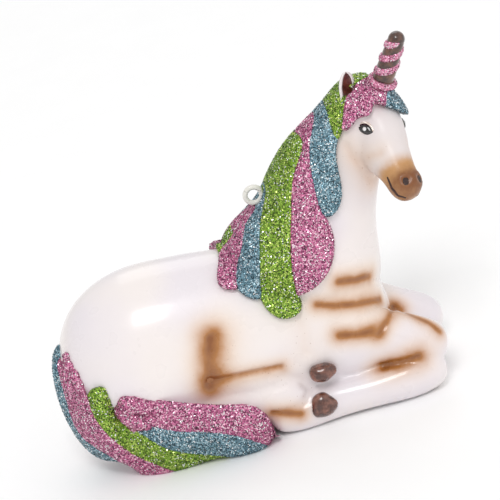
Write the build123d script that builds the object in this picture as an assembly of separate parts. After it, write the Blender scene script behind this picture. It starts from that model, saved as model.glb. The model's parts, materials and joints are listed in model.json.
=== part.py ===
from build123d import *
import os
from math import atan2, cos, degrees, radians, sin

# A lying unicorn ornament of blown glass, about 100 mm long, hung from a small
# wire ring at the back of its neck. It looks along +X, its left side is at +Y,
# and the flat underside lies on Z = 0 with the origin near its middle.

# Driving sizes, in millimetres and degrees
body_length = 100.0
body_width = 40.0
poll_height = 80.0
glass_wall = 1.2
glitter_depth = 1.8
sculpt_slant = 24.0
cut_depth = 60.0
end_angles = (42.0, 66.0, 83.0)
quarter_turn = 90.0

# Horn
horn_base_radius = 3.0
horn_tip_radius = 2.05
horn_length = 14.2
horn_sunk = 4.2
stripe_pitch = 3.75
stripe_half_width = 0.98
stripe_rise = 0.45
stripe_turns = 2.8
stripe_start = 1.5
collar_radius = 2.8
collar_bead_radius = 0.75

# Ears, eyes and hooves
near_ear_length = 10.2
far_ear_length = 5.5
ear_half_width = 1.9
ear_half_depth = 1.2
eye_half_length = 2.35
eye_half_height = 1.35
eye_half_depth = 0.8
glint_radius = 0.45
hoof_half_length = 3.4
hoof_half_width = 2.3

# Hanger at the back of the neck
pike_outer_radius = 1.55
pike_bore_radius = 1.1
pike_root = 4.0
pike_tilt = 9.0
cap_outer_radius = 2.0
cap_clearance = 0.06
cap_depth = 1.5
cap_top_thickness = 0.4
cap_gap = 0.15
ring_outer_radius = 2.75
ring_wire_radius = 0.66
ring_seat = 0.2
leg_wire_radius = 0.3
leg_offset = 0.42
leg_length = 6.0
leg_clearance = 0.05
hanger_clearance = 0.25


def at(x_share, y_share, z_share):
    """A point given as shares of the length, width and height of the figure."""
    return Vector(x_share * body_length, y_share * body_width, z_share * poll_height)


def lowered(solid):
    """The part of a shape above the ground plane."""
    ground = Box(
        body_length + body_length,
        body_width + body_length,
        cut_depth,
        align=(Align.CENTER, Align.CENTER, Align.MAX),
    )
    return solid - ground


def ellipsoid(centre, radii):
    """A ball stretched to three radii and set on its centre."""
    return Pos(*centre) * scale(Sphere(1), by=tuple(radii))


# Stations of the soft forms: place along X, Y and Z, half width and half depth,
# each as a share of body length, body width, poll height, body width and poll height
trunk_shares = (
    (-0.30, 0.0, 0.282, 0.485, 0.314),
    (-0.20, 0.0, 0.278, 0.480, 0.316),
    (-0.08, 0.0, 0.268, 0.455, 0.310),
    (0.04, 0.0, 0.256, 0.425, 0.300),
    (0.14, 0.0, 0.250, 0.400, 0.290),
    (0.21, 0.0, 0.245, 0.380, 0.275),
)
neck_shares = (
    (0.150, 0.0, 0.465, 0.362, 0.245),
    (0.216, 0.0, 0.600, 0.300, 0.187),
    (0.247, -0.010, 0.682, 0.262, 0.166),
    (0.286, -0.025, 0.758, 0.225, 0.149),
    (0.345, -0.040, 0.850, 0.200, 0.112),
    (0.380, -0.050, 0.910, 0.180, 0.090),
)
near_fore_shares = (
    (0.16, -0.275, 0.235, 0.150, 0.112),
    (0.27, -0.285, 0.215, 0.145, 0.098),
    (0.385, -0.285, 0.143, 0.140, 0.080),
)
near_cannon_shares = (
    (0.370, -0.335, 0.066, 0.135, 0.066),
    (0.25, -0.355, 0.062, 0.135, 0.062),
    (0.12, -0.360, 0.062, 0.120, 0.062),
    (0.00, -0.380, 0.062, 0.110, 0.060),
)
far_fore_shares = (
    (0.22, 0.260, 0.205, 0.160, 0.105),
    (0.32, 0.275, 0.145, 0.150, 0.095),
    (0.400, 0.275, 0.095, 0.150, 0.082),
)
far_cannon_shares = (
    (0.385, 0.335, 0.066, 0.135, 0.066),
    (0.25, 0.355, 0.062, 0.135, 0.062),
    (0.12, 0.360, 0.062, 0.120, 0.062),
    (0.00, 0.380, 0.062, 0.110, 0.060),
)
hind_cannon_shares = (
    (-0.24, -0.330, 0.150, 0.140, 0.088),
    (-0.10, -0.350, 0.135, 0.130, 0.078),
    (0.035, -0.362, 0.112, 0.108, 0.062),
)
thigh_centre_share = (-0.29, -0.23, 0.25)
thigh_radius_shares = (0.20, 0.27, 0.265)
rump_reach = 22.3
chest_reach = 12.0


def along(points, index):
    """The direction of a chain of points at one of them."""
    before = points[max(index - 1, 0)]
    after = points[min(index + 1, len(points) - 1)]
    return (after - before).normalized()


def rounded_stack(stack, first_reach, last_reach):
    """Loft a stack of (plane, half width, half depth) with both ends rounded off."""
    sections = []
    for angle in end_angles:
        sections.append(shrunk_section(stack[0], -first_reach, angle))
    sections.reverse()
    for plane, across, deep in stack:
        sections.append(plane * Ellipse(across, deep))
    for angle in end_angles:
        sections.append(shrunk_section(stack[-1], last_reach, angle))
    return loft(sections)


def shrunk_section(entry, reach, angle):
    """One section of a rounded end, the given angle around its quarter turn."""
    plane, across, deep = entry
    shrink = cos(radians(angle))
    moved = plane.offset(reach * sin(radians(angle)))
    return moved * Ellipse(across * shrink, deep * shrink)


def limb(stations, grow=0.0, sideways=(0, 1, 0), reaches=None):
    """A soft form lofted through its stations and rounded off at both ends."""
    points = [at(*station[:3]) for station in stations]
    stack = []
    for index, station in enumerate(stations):
        across = station[3] * body_width + grow
        deep = station[4] * poll_height + grow
        direction = Vector(1, 0, 0) if reaches else along(points, index)
        if not sideways:
            direction = Vector(direction.X, direction.Y, 0)
        level = sideways or direction.cross(Vector(0, 0, 1))
        plane = Plane(origin=points[index], x_dir=level, z_dir=direction)
        stack.append((plane, across, deep))
    if reaches:
        first_reach = reaches[0] + grow
        last_reach = reaches[1] + grow
    else:
        first_reach = min(stack[0][1], stack[0][2])
        last_reach = min(stack[-1][1], stack[-1][2])
    return rounded_stack(stack, first_reach, last_reach)


def mirrored(stations):
    """The same stations on the other side of the figure."""
    return tuple((s[0], -s[1], s[2], s[3], s[4]) for s in stations)


def trunk(grow):
    """The barrel of the body with its rounded rump and chest."""
    return limb(trunk_shares, grow, reaches=(rump_reach, chest_reach))


# The head has its own frame: its axis runs from the poll to the nose, and its
# stations give reach along the axis, rise, half width and half depth, all as
# shares of the head's length
poll_share = (0.395, 0.015, 0.915)
nose_direction = Vector(0.154, -0.724, -0.672)
face_direction = Vector(0.518, -0.521, 0.680)
head_length = 27.5
head_shares = (
    (0.00, 0.000, 0.210, 0.220),
    (0.15, -0.030, 0.245, 0.285),
    (0.30, -0.055, 0.245, 0.320),
    (0.45, -0.055, 0.220, 0.290),
    (0.60, -0.030, 0.180, 0.220),
    (0.75, -0.012, 0.155, 0.165),
    (0.88, -0.012, 0.148, 0.138),
)


def head_plane():
    """The plane across the poll: X up the face, Z towards the nose."""
    return Plane(origin=at(*poll_share), x_dir=face_direction, z_dir=nose_direction)


def on_head(reach_share, rise_share, side_share):
    """A point of the head given as shares of its length."""
    local = Vector(
        rise_share * head_length, side_share * head_length, reach_share * head_length
    )
    return head_plane().from_local_coords(local)


def head(grow):
    """The head lofted from the poll to the muzzle."""
    stack = []
    for reach, rise, across, deep in head_shares:
        plane = Plane(
            origin=on_head(reach, rise, 0), x_dir=face_direction, z_dir=nose_direction
        )
        stack.append((plane, deep * head_length + grow, across * head_length + grow))
    first_reach = min(stack[0][1], stack[0][2])
    last_reach = min(stack[-1][1], stack[-1][2])
    return rounded_stack(stack, first_reach, last_reach)


def thigh(side, grow):
    """One of the two big rounded thighs."""
    x_share, y_share, z_share = thigh_centre_share
    radii = [
        thigh_radius_shares[0] * body_length + grow,
        thigh_radius_shares[1] * body_width + grow,
        thigh_radius_shares[2] * poll_height + grow,
    ]
    return ellipsoid(at(x_share, y_share * side, z_share), radii)


def whole_form(grow=0.0):
    """Everything the glass body is blown to, grown outwards or shrunk inwards."""
    form = trunk(grow) + limb(neck_shares, grow) + head(grow)
    form = form + thigh(1, grow) + thigh(-1, grow)
    limbs = (
        near_fore_shares,
        near_cannon_shares,
        far_fore_shares,
        far_cannon_shares,
        hind_cannon_shares,
        mirrored(hind_cannon_shares),
    )
    for stations in limbs:
        form = form + limb(stations, grow)
    return form


# Outlines of the locks of hair, drawn on the middle plane as shares of body
# length and poll height. Each chain of points is the line between two locks.
crown_front_shares = (
    (0.465, 1.075), (0.436, 1.005), (0.390, 0.988), (0.356, 0.957), (0.333, 0.894),
    (0.304, 0.826),
)
green_to_teal_shares = ((0.272, 1.047), (0.300, 0.972), (0.299, 0.901), (0.304, 0.826))
teal_front_shares = (
    (0.304, 0.826), (0.287, 0.767), (0.283, 0.695), (0.261, 0.609), (0.239, 0.590),
    (0.220, 0.601),
)
teal_to_pink_shares = (
    (0.242, 0.998), (0.269, 0.929), (0.243, 0.853), (0.225, 0.767), (0.219, 0.682),
    (0.220, 0.601),
)
pink_front_shares = (
    (0.220, 0.601), (0.229, 0.512), (0.218, 0.459), (0.192, 0.408), (0.157, 0.376),
    (0.107, 0.363),
)
pink_to_green_shares = (
    (0.184, 0.917), (0.223, 0.854), (0.183, 0.759), (0.150, 0.638), (0.124, 0.525),
    (0.107, 0.363),
)
green_bottom_shares = (
    (0.107, 0.363), (0.086, 0.299), (0.058, 0.302), (0.033, 0.334), (0.021, 0.390),
)
green_to_low_teal_shares = (
    (0.074, 0.808), (0.107, 0.743), (0.084, 0.671), (0.046, 0.523), (0.021, 0.390),
)
low_teal_bottom_shares = ((0.021, 0.390), (0.003, 0.393), (-0.014, 0.411), (-0.029, 0.442))
low_teal_to_low_pink_shares = (
    (0.031, 0.748), (0.062, 0.673), (0.041, 0.649), (0.015, 0.585), (-0.020, 0.496),
    (-0.029, 0.442),
)
low_pink_bottom_shares = (
    (-0.029, 0.442), (-0.049, 0.446), (-0.066, 0.463), (-0.061, 0.522), (-0.048, 0.571),
)
low_pink_to_withers_shares = (
    (-0.042, 0.671), (-0.008, 0.612), (-0.027, 0.595), (-0.048, 0.571),
)
withers_back_shares = ((-0.048, 0.571), (-0.053, 0.594), (-0.084, 0.645))

mane_locks = {
    "front_green": (crown_front_shares, green_to_teal_shares),
    "front_teal": (green_to_teal_shares, teal_front_shares, teal_to_pink_shares),
    "front_pink": (teal_to_pink_shares, pink_front_shares, pink_to_green_shares),
    "middle_green": (pink_to_green_shares, green_bottom_shares, green_to_low_teal_shares),
    "low_teal": (
        green_to_low_teal_shares, low_teal_bottom_shares, low_teal_to_low_pink_shares,
    ),
    "low_pink": (
        low_teal_to_low_pink_shares, low_pink_bottom_shares, low_pink_to_withers_shares,
    ),
    "withers_green": (low_pink_to_withers_shares, withers_back_shares),
}
forelock_parting_shares = (
    (0.436, 1.005), (0.452, 0.965), (0.450, 0.928), (0.440, 0.888),
)
forelock_pink_edge_shares = (
    (0.440, 0.888), (0.406, 0.900), (0.394, 0.878), (0.370, 0.878), (0.330, 0.850),
    (0.318, 0.857),
)
forelock_pink_back_shares = (
    (0.318, 0.857), (0.335, 0.920), (0.356, 0.957), (0.390, 0.988), (0.436, 1.005),
)
forelock_teal_edge_shares = (
    (0.440, 0.888), (0.468, 0.866), (0.500, 0.842), (0.540, 0.900), (0.510, 0.960),
    (0.470, 1.000), (0.436, 1.005),
)
forelock_locks = {
    "forelock_pink": (
        forelock_parting_shares, forelock_pink_edge_shares, forelock_pink_back_shares,
    ),
    "forelock_teal": (forelock_parting_shares, forelock_teal_edge_shares),
}
tail_teal_to_pink_shares = (
    (-0.476, 0.427), (-0.501, 0.387), (-0.515, 0.363), (-0.521, 0.314), (-0.519, 0.254),
    (-0.519, 0.184), (-0.512, 0.114), (-0.487, 0.059), (-0.453, 0.011), (-0.424, -0.039),
    (-0.410, -0.120),
)
tail_pink_inner_shares = ((-0.476, 0.427), (-0.478, 0.341), (-0.471, 0.279), (-0.459, 0.215))
tail_pink_to_green_shares = (
    (-0.459, 0.215), (-0.457, 0.158), (-0.445, 0.105), (-0.425, 0.052), (-0.397, -0.001),
    (-0.361, -0.045), (-0.327, -0.082), (-0.288, -0.128), (-0.254, -0.203),
)
tail_green_top_shares = ((-0.459, 0.215), (-0.442, 0.245), (-0.406, 0.231), (-0.409, 0.191))
tail_green_to_top_pink_shares = ((-0.409, 0.191), (-0.399, 0.154), (-0.383, 0.110))
tail_green_to_teal_shares = (
    (-0.383, 0.110), (-0.366, 0.066), (-0.342, 0.030), (-0.318, -0.006), (-0.280, -0.040),
    (-0.237, -0.065), (-0.161, -0.108), (-0.119, -0.140), (-0.062, -0.186),
)
tail_teal_to_top_pink_shares = (
    (-0.383, 0.110), (-0.346, 0.084), (-0.309, 0.058), (-0.265, 0.029), (-0.221, 0.011),
    (-0.180, -0.009), (-0.144, -0.031), (-0.108, -0.061), (-0.077, -0.092),
    (-0.027, -0.151),
)
tail_top_shares = (
    (-0.409, 0.191), (-0.391, 0.225), (-0.291, 0.177), (-0.172, 0.115), (-0.076, 0.065),
    (0.015, -0.009),
)
tail_low_edge_shares = ((-0.410, -0.120), (-0.620, -0.120))
tail_back_edge_shares = ((-0.620, -0.120), (-0.620, 0.427))
tail_high_edge_shares = ((-0.620, 0.427), (-0.476, 0.427))
tail_locks = {
    "tail_outer_teal": (
        tail_teal_to_pink_shares,
        tail_low_edge_shares,
        tail_back_edge_shares,
        tail_high_edge_shares,
    ),
    "tail_outer_pink": (
        tail_teal_to_pink_shares, tail_pink_inner_shares, tail_pink_to_green_shares,
    ),
    "tail_green": (
        tail_pink_to_green_shares,
        tail_green_top_shares,
        tail_green_to_top_pink_shares,
        tail_green_to_teal_shares,
    ),
    "tail_inner_teal": (tail_green_to_teal_shares, tail_teal_to_top_pink_shares),
    "tail_inner_pink": (
        tail_green_to_top_pink_shares, tail_teal_to_top_pink_shares, tail_top_shares,
    ),
}
tail_shares = (
    (-0.490, 0.05, 0.340, 0.085, 0.080),
    (-0.497, -0.08, 0.262, 0.110, 0.120),
    (-0.466, -0.20, 0.205, 0.140, 0.160),
    (-0.385, -0.320, 0.170, 0.160, 0.178),
    (-0.26, -0.405, 0.150, 0.160, 0.165),
    (-0.14, -0.450, 0.115, 0.150, 0.125),
    (-0.085, -0.450, 0.100, 0.140, 0.110),
)


def middle_point(shares):
    """A point on the middle plane given as shares of length and poll height."""
    return Vector(shares[0] * body_length, 0, shares[1] * poll_height)


def chain(shares):
    """A line on the middle plane through a chain of points, straight if it has two."""
    points = [middle_point(pair) for pair in shares]
    if len(points) == 2:
        return Line(*points)
    return Spline(*points)


def outline(chains):
    """The closed face inside a ring of chains; open ends are joined straight."""
    edges = []
    ends = []
    for shares in chains:
        edges.append(chain(shares))
        ends.extend((shares[0], shares[-1]))
    loose = [pair for pair in ends if ends.count(pair) == 1]
    if loose:
        edges.append(Line(*[middle_point(pair) for pair in loose]))
    return make_face(edges)


def slanted_prism(chains, side, start=0.0):
    """An outline carried outwards and upwards to one side of the figure."""
    slant = radians(sculpt_slant)
    direction = Vector(0, side * cos(slant), sin(slant))
    face = Pos(*(direction * start)) * outline(chains)
    return Solid.extrude(face.faces()[0], direction * cut_depth)


def largest(shape):
    """The biggest solid of a cut shape."""
    return max(shape.solids(), key=lambda solid: solid.volume)


def rod(plane, radius, bottom, top):
    """A round bar along a plane's normal between two heights."""
    bar = Cylinder(radius, top - bottom, align=(Align.CENTER, Align.CENTER, Align.MIN))
    return plane * Pos(0, 0, bottom) * bar


# The hanger's frame: its origin is the cap's outer face and Z points out of the neck
hanger_share = (0.097, 0.0, 0.7240)


def hanger_plane():
    """The plane of the cap's outer face at the back of the neck."""
    tilt = radians(pike_tilt)
    return Plane(
        origin=at(*hanger_share), x_dir=(0, 1, 0), z_dir=(-cos(tilt), 0, sin(tilt))
    )


def pike():
    """The short open glass neck that takes the hanger."""
    mouth = -cap_top_thickness - cap_gap
    return rod(hanger_plane(), pike_outer_radius, mouth - pike_root, mouth)


def pike_bore():
    """The way through the pike into the hollow body."""
    mouth = -cap_top_thickness - cap_gap
    return rod(hanger_plane(), pike_bore_radius, mouth - pike_root - leg_length, mouth)


def hanger_room():
    """The space kept free of glass and glitter around the cap and its ring."""
    radius = cap_outer_radius + hanger_clearance
    room = rod(hanger_plane(), radius, -cap_depth - hanger_clearance, cut_depth)
    ball = Sphere(ring_outer_radius + hanger_clearance)
    return room + hanger_plane() * Pos(0, 0, ring_outer_radius - ring_seat) * ball


def hanger_cap():
    """The thin metal cap over the pike, with two holes for the wire's legs."""
    plane = hanger_plane()
    cap = rod(plane, cap_outer_radius, -cap_depth, 0)
    inner_radius = pike_outer_radius + cap_clearance
    return cap - rod(plane, inner_radius, -cap_depth, -cap_top_thickness)


def hanger_wire():
    """The ring and its two spring legs, bent from one wire."""
    plane = hanger_plane()
    middle_radius = ring_outer_radius - ring_wire_radius
    ring_height = ring_outer_radius - ring_seat
    ring = Torus(middle_radius, ring_wire_radius)
    wire = plane * Pos(0, 0, ring_height) * Rot(0, quarter_turn, 0) * ring
    tip_offset = pike_bore_radius - leg_wire_radius - leg_clearance
    for side in (-1, 1):
        foot = plane.from_local_coords(Vector(side * tip_offset, 0, -leg_length))
        knee = plane.from_local_coords(Vector(side * leg_offset, 0, ring_wire_radius))
        leg = Plane(origin=foot, z_dir=knee - foot)
        wire = wire + rod(leg, leg_wire_radius, 0, (knee - foot).length)
    return wire


# Horn, from the middle of its base on the forehead to its tip
horn_base_share = (0.448, -0.160, 1.0055)
horn_direction = Vector(0.458, -0.218, 0.862)


def horn_plane():
    """The plane across the base of the horn."""
    return Plane(origin=at(*horn_base_share), z_dir=horn_direction)


def horn():
    """The tapered horn with its rounded tip, sunk a little into the forehead."""
    height = horn_length - horn_tip_radius
    taper = Cone(
        horn_base_radius,
        horn_tip_radius,
        height + horn_sunk,
        align=(Align.CENTER, Align.CENTER, Align.MIN),
    )
    plane = horn_plane()
    tip = Sphere(horn_tip_radius)
    return plane * Pos(0, 0, -horn_sunk) * taper + plane * Pos(0, 0, height) * tip


def horn_radius_at(height):
    """The horn's radius at a height above its base."""
    full = horn_length - horn_tip_radius + horn_sunk
    share = (height + horn_sunk) / full
    return horn_base_radius + (horn_tip_radius - horn_base_radius) * share


def horn_stripe():
    """The flat ribbon of glitter winding up the horn."""
    height = stripe_pitch * stripe_turns
    low_radius = horn_radius_at(stripe_start)
    high_radius = horn_radius_at(stripe_start + height)
    taper = degrees(atan2(high_radius - low_radius, height))
    path = Helix(stripe_pitch, height, low_radius, cone_angle=taper)
    start = Plane(origin=path @ 0, x_dir=(1, 0, 0), z_dir=path % 0)
    section = start * Ellipse(stripe_rise, stripe_half_width)
    ribbon = sweep(section, path=path, is_frenet=True)
    return horn_plane() * Pos(0, 0, stripe_start) * ribbon


def horn_collar():
    """The ring of glitter around the foot of the horn."""
    return horn_plane() * Torus(collar_radius, collar_bead_radius)


# Ears: foot of each ear and the way it points
near_ear_share = (0.355, -0.130, 0.950)
near_ear_direction = Vector(0.20, -0.14, 0.97)
far_ear_share = (0.430, 0.020, 0.925)
far_ear_direction = Vector(0.05, 0.75, 0.66)
ear_outline_shares = ((0.0, 0.72), (0.3, 1.0), (0.6, 0.82), (0.85, 0.42))


def ear(share, direction, length):
    """A leaf-shaped ear standing on the head."""
    stack = []
    for height, fullness in ear_outline_shares:
        origin = at(*share) + direction * (height * length)
        plane = Plane(origin=origin, x_dir=(1, 0, 0), z_dir=direction)
        stack.append((plane, ear_half_width * fullness, ear_half_depth * fullness))
    return rounded_stack(stack, stack[0][2], stack[-1][1])


# Eyes and hooves
eye_shares = (0.325, 0.140, 0.215)
eye_slant_shares = (0.78, 0.93)
near_fore_hoof_share = (0.115, -0.430, 0.180)
near_hind_hoof_share = (0.095, -0.465, 0.078)
hoof_height_share = 0.029
hind_hoof_height_share = 0.040


def eye_plane(side):
    """The plane of an eye: X across the face, Z outwards."""
    reach, rise, across = eye_shares
    side_way = nose_direction.cross(face_direction) * side
    outward = face_direction * rise + side_way * across
    length_way = face_direction * eye_slant_shares[0] + nose_direction * eye_slant_shares[1]
    return Plane(
        origin=on_head(reach, rise, across * side), x_dir=length_way, z_dir=outward
    )


def eye(side):
    """A flat oval bead for one eye."""
    radii = (eye_half_length, eye_half_height, eye_half_depth)
    return eye_plane(side) * scale(Sphere(1), by=radii)


def glint(side):
    """The small white dot on an eye."""
    return eye_plane(side) * Pos(0, 0, eye_half_depth) * Sphere(glint_radius)


def hoof(share, height_share):
    """A rounded hoof half sunk in the end of a leg."""
    radii = (hoof_half_length, hoof_half_width, height_share * poll_height)
    return ellipsoid(at(*share), radii)


def write(solid, name):
    """Save one piece in its own file."""
    export_step(solid, os.path.join("parts", name + ".step"))


def write_locks(mass, locks, side, body, prefix="", start=0.0):
    """Cut a mass of hair into its locks and save each as a piece."""
    for name, chains in locks.items():
        prism = slanted_prism(chains, side, start)
        lock = largest((mass & prism) - body)
        write(lock, prefix + name)


os.makedirs("parts", exist_ok=True)
solid_form = lowered(whole_form()) - hanger_room()
hollow = lowered(whole_form(-glass_wall))
floor_skin = Box(
    body_length + body_length,
    body_width + body_length,
    glass_wall,
    align=(Align.CENTER, Align.CENTER, Align.MIN),
)
body = (solid_form + pike()) - (hollow - floor_skin) - pike_bore()
write(body, "glass_body")

outer_form = solid_form + pike()
horn_form = horn()
collar = horn_collar() - horn_form - outer_form
write(largest(horn_form - outer_form), "horn")
write(largest(collar), "horn_collar")
write(largest(horn_stripe() - horn_form), "horn_stripe")

near_ear = largest(ear(near_ear_share, near_ear_direction, near_ear_length) - outer_form)
far_ear = largest(ear(far_ear_share, far_ear_direction, far_ear_length) - outer_form)
write(near_ear, "near_ear")
write(far_ear, "far_ear")

mane_mass = trunk(glitter_depth) + limb(neck_shares, glitter_depth)
mane_mass = mane_mass + head(glitter_depth) - hanger_room()
taken = outer_form + horn_form + horn_collar() + near_ear + far_ear
for side, prefix in ((-1, "near_mane_"), (1, "far_mane_")):
    write_locks(mane_mass, mane_locks, side, taken, prefix)
crown_locks = slanted_prism(mane_locks["front_green"], -1)
write_locks(mane_mass - crown_locks, forelock_locks, -1, taken)

tail_mass = lowered(limb(tail_shares, sideways=None))
write_locks(tail_mass, tail_locks, -1, solid_form)

write(hanger_cap() - hanger_wire(), "hanger_cap")
write(hanger_wire(), "hanger_wire")

for side, name in ((-1, "near"), (1, "far")):
    write(largest(eye(side) - solid_form), name + "_eye")
    write(largest(glint(side) - eye(side) - solid_form), name + "_eye_glint")
for share, height, name in (
    (near_fore_hoof_share, hoof_height_share, "near_fore_hoof"),
    (near_hind_hoof_share, hind_hoof_height_share, "near_hind_hoof"),
):
    write(largest(hoof(share, height) - solid_form), name)
    mirrored_share = (share[0], -share[1], share[2])
    write(largest(hoof(mirrored_share, height) - solid_form), name.replace("near", "far"))
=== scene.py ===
"""Looks of a lying unicorn ornament of blown glass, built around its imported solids."""

import json
import logging
import math
from dataclasses import dataclass
from enum import Enum

import bmesh
import bpy
import numpy as np
from mathutils import Matrix, Vector
from mathutils.bvhtree import BVHTree

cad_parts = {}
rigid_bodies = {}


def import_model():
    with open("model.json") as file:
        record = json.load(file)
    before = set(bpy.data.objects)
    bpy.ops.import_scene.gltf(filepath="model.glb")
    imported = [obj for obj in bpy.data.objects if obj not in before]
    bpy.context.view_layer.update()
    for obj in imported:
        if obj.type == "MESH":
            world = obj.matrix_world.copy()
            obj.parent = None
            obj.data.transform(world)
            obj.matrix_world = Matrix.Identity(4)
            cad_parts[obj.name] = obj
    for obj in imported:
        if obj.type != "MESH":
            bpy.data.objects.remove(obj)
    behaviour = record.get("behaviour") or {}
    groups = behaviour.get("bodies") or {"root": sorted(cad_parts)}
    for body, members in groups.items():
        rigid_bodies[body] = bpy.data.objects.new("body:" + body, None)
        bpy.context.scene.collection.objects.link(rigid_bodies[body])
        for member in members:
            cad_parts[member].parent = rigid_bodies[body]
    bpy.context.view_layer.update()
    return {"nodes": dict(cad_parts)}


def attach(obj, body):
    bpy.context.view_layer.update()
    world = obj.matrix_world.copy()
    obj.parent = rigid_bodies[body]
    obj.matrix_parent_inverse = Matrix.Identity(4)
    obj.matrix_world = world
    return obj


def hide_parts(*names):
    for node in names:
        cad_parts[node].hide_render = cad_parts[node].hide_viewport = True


LOG = logging.getLogger("unicorn")
MM = 0.001
JOIN_GAP = 0.001 * MM
TINY = 1e-12
# The eye that sees the near side as the photograph does; the far side's eye mirrors it.
WATCH = (2.6 * MM, 639.48 * MM, 328.92 * MM)


class Side(Enum):
    """The two sides of the figure; the near one is at minus Y."""

    NEAR = -1
    FAR = 1


class Tint(Enum):
    """The glitter colours: deep, body and light flake colour as sRGB."""

    GREEN = ("green_glitter", (0.27, 0.38, 0.07), (0.51, 0.67, 0.19), (0.80, 0.88, 0.45))
    PINK = ("pink_glitter", (0.50, 0.20, 0.36), (0.80, 0.45, 0.61), (0.97, 0.79, 0.86))
    ROSE = ("pink_glitter", (0.70, 0.36, 0.50), (0.90, 0.58, 0.71), (0.98, 0.84, 0.90))
    TEAL = ("teal_glitter", (0.22, 0.33, 0.38), (0.43, 0.58, 0.64), (0.76, 0.87, 0.91))


def linear(colour: tuple[float, float, float]) -> tuple[float, float, float, float]:
    """Turn an sRGB colour into the linear colour a shader takes.

    Args:
        colour: red, green and blue from 0 to 1, as seen on a screen.

    Returns:
        The linear colour with full alpha.
    """
    parts = [c / 12.92 if c <= 0.04045 else ((c + 0.055) / 1.055) ** 2.4 for c in colour]
    return (*parts, 1.0)


class Term:
    """A shader value that can be used in Python sums."""

    def __init__(self, shader: "Shader", socket: bpy.types.NodeSocket) -> None:
        """Keep the shader the value belongs to and its output socket."""
        self.shader = shader
        self.socket = socket

    def _math(self, operation: str, *values: "Term | float") -> "Term":
        """Add one Math node over this shader's values.

        Args:
            operation: the node's operation.
            *values: what goes into its sockets, in order.

        Returns:
            The node's result.
        """
        node = self.shader.node("ShaderNodeMath", {"operation": operation})
        for place, value in zip(node.inputs, values):
            self.shader.feed(place, value)
        return Term(self.shader, node.outputs[0])

    def __add__(self, other: "Term | float") -> "Term":
        """This value plus another."""
        return self._math("ADD", self, other)

    __radd__ = __add__

    def __sub__(self, other: "Term | float") -> "Term":
        """This value less another."""
        return self._math("SUBTRACT", self, other)

    def __rsub__(self, other: float) -> "Term":
        """A number less this value."""
        return self._math("SUBTRACT", other, self)

    def __mul__(self, other: "Term | float") -> "Term":
        """This value times another."""
        return self._math("MULTIPLY", self, other)

    __rmul__ = __mul__

    def above(self, edge: float) -> "Term":
        """One where this value is over an edge, nought elsewhere."""
        return self._math("GREATER_THAN", self, edge)

    def least(self, other: "Term | float") -> "Term":
        """The smaller of this value and another."""
        return self._math("MINIMUM", self, other)

    def ramp(self, low: float, high: float) -> "Term":
        """Rise smoothly from nought at low to one at high.

        Args:
            low: the value where the result is nought.
            high: the value where the result is one.

        Returns:
            The smoothed share.
        """
        node = self.shader.node("ShaderNodeMapRange", {"interpolation_type": "SMOOTHSTEP"})
        self.shader.feed(node.inputs["Value"], self)
        node.inputs["From Min"].default_value = low
        node.inputs["From Max"].default_value = high
        return Term(self.shader, node.outputs["Result"])


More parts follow.
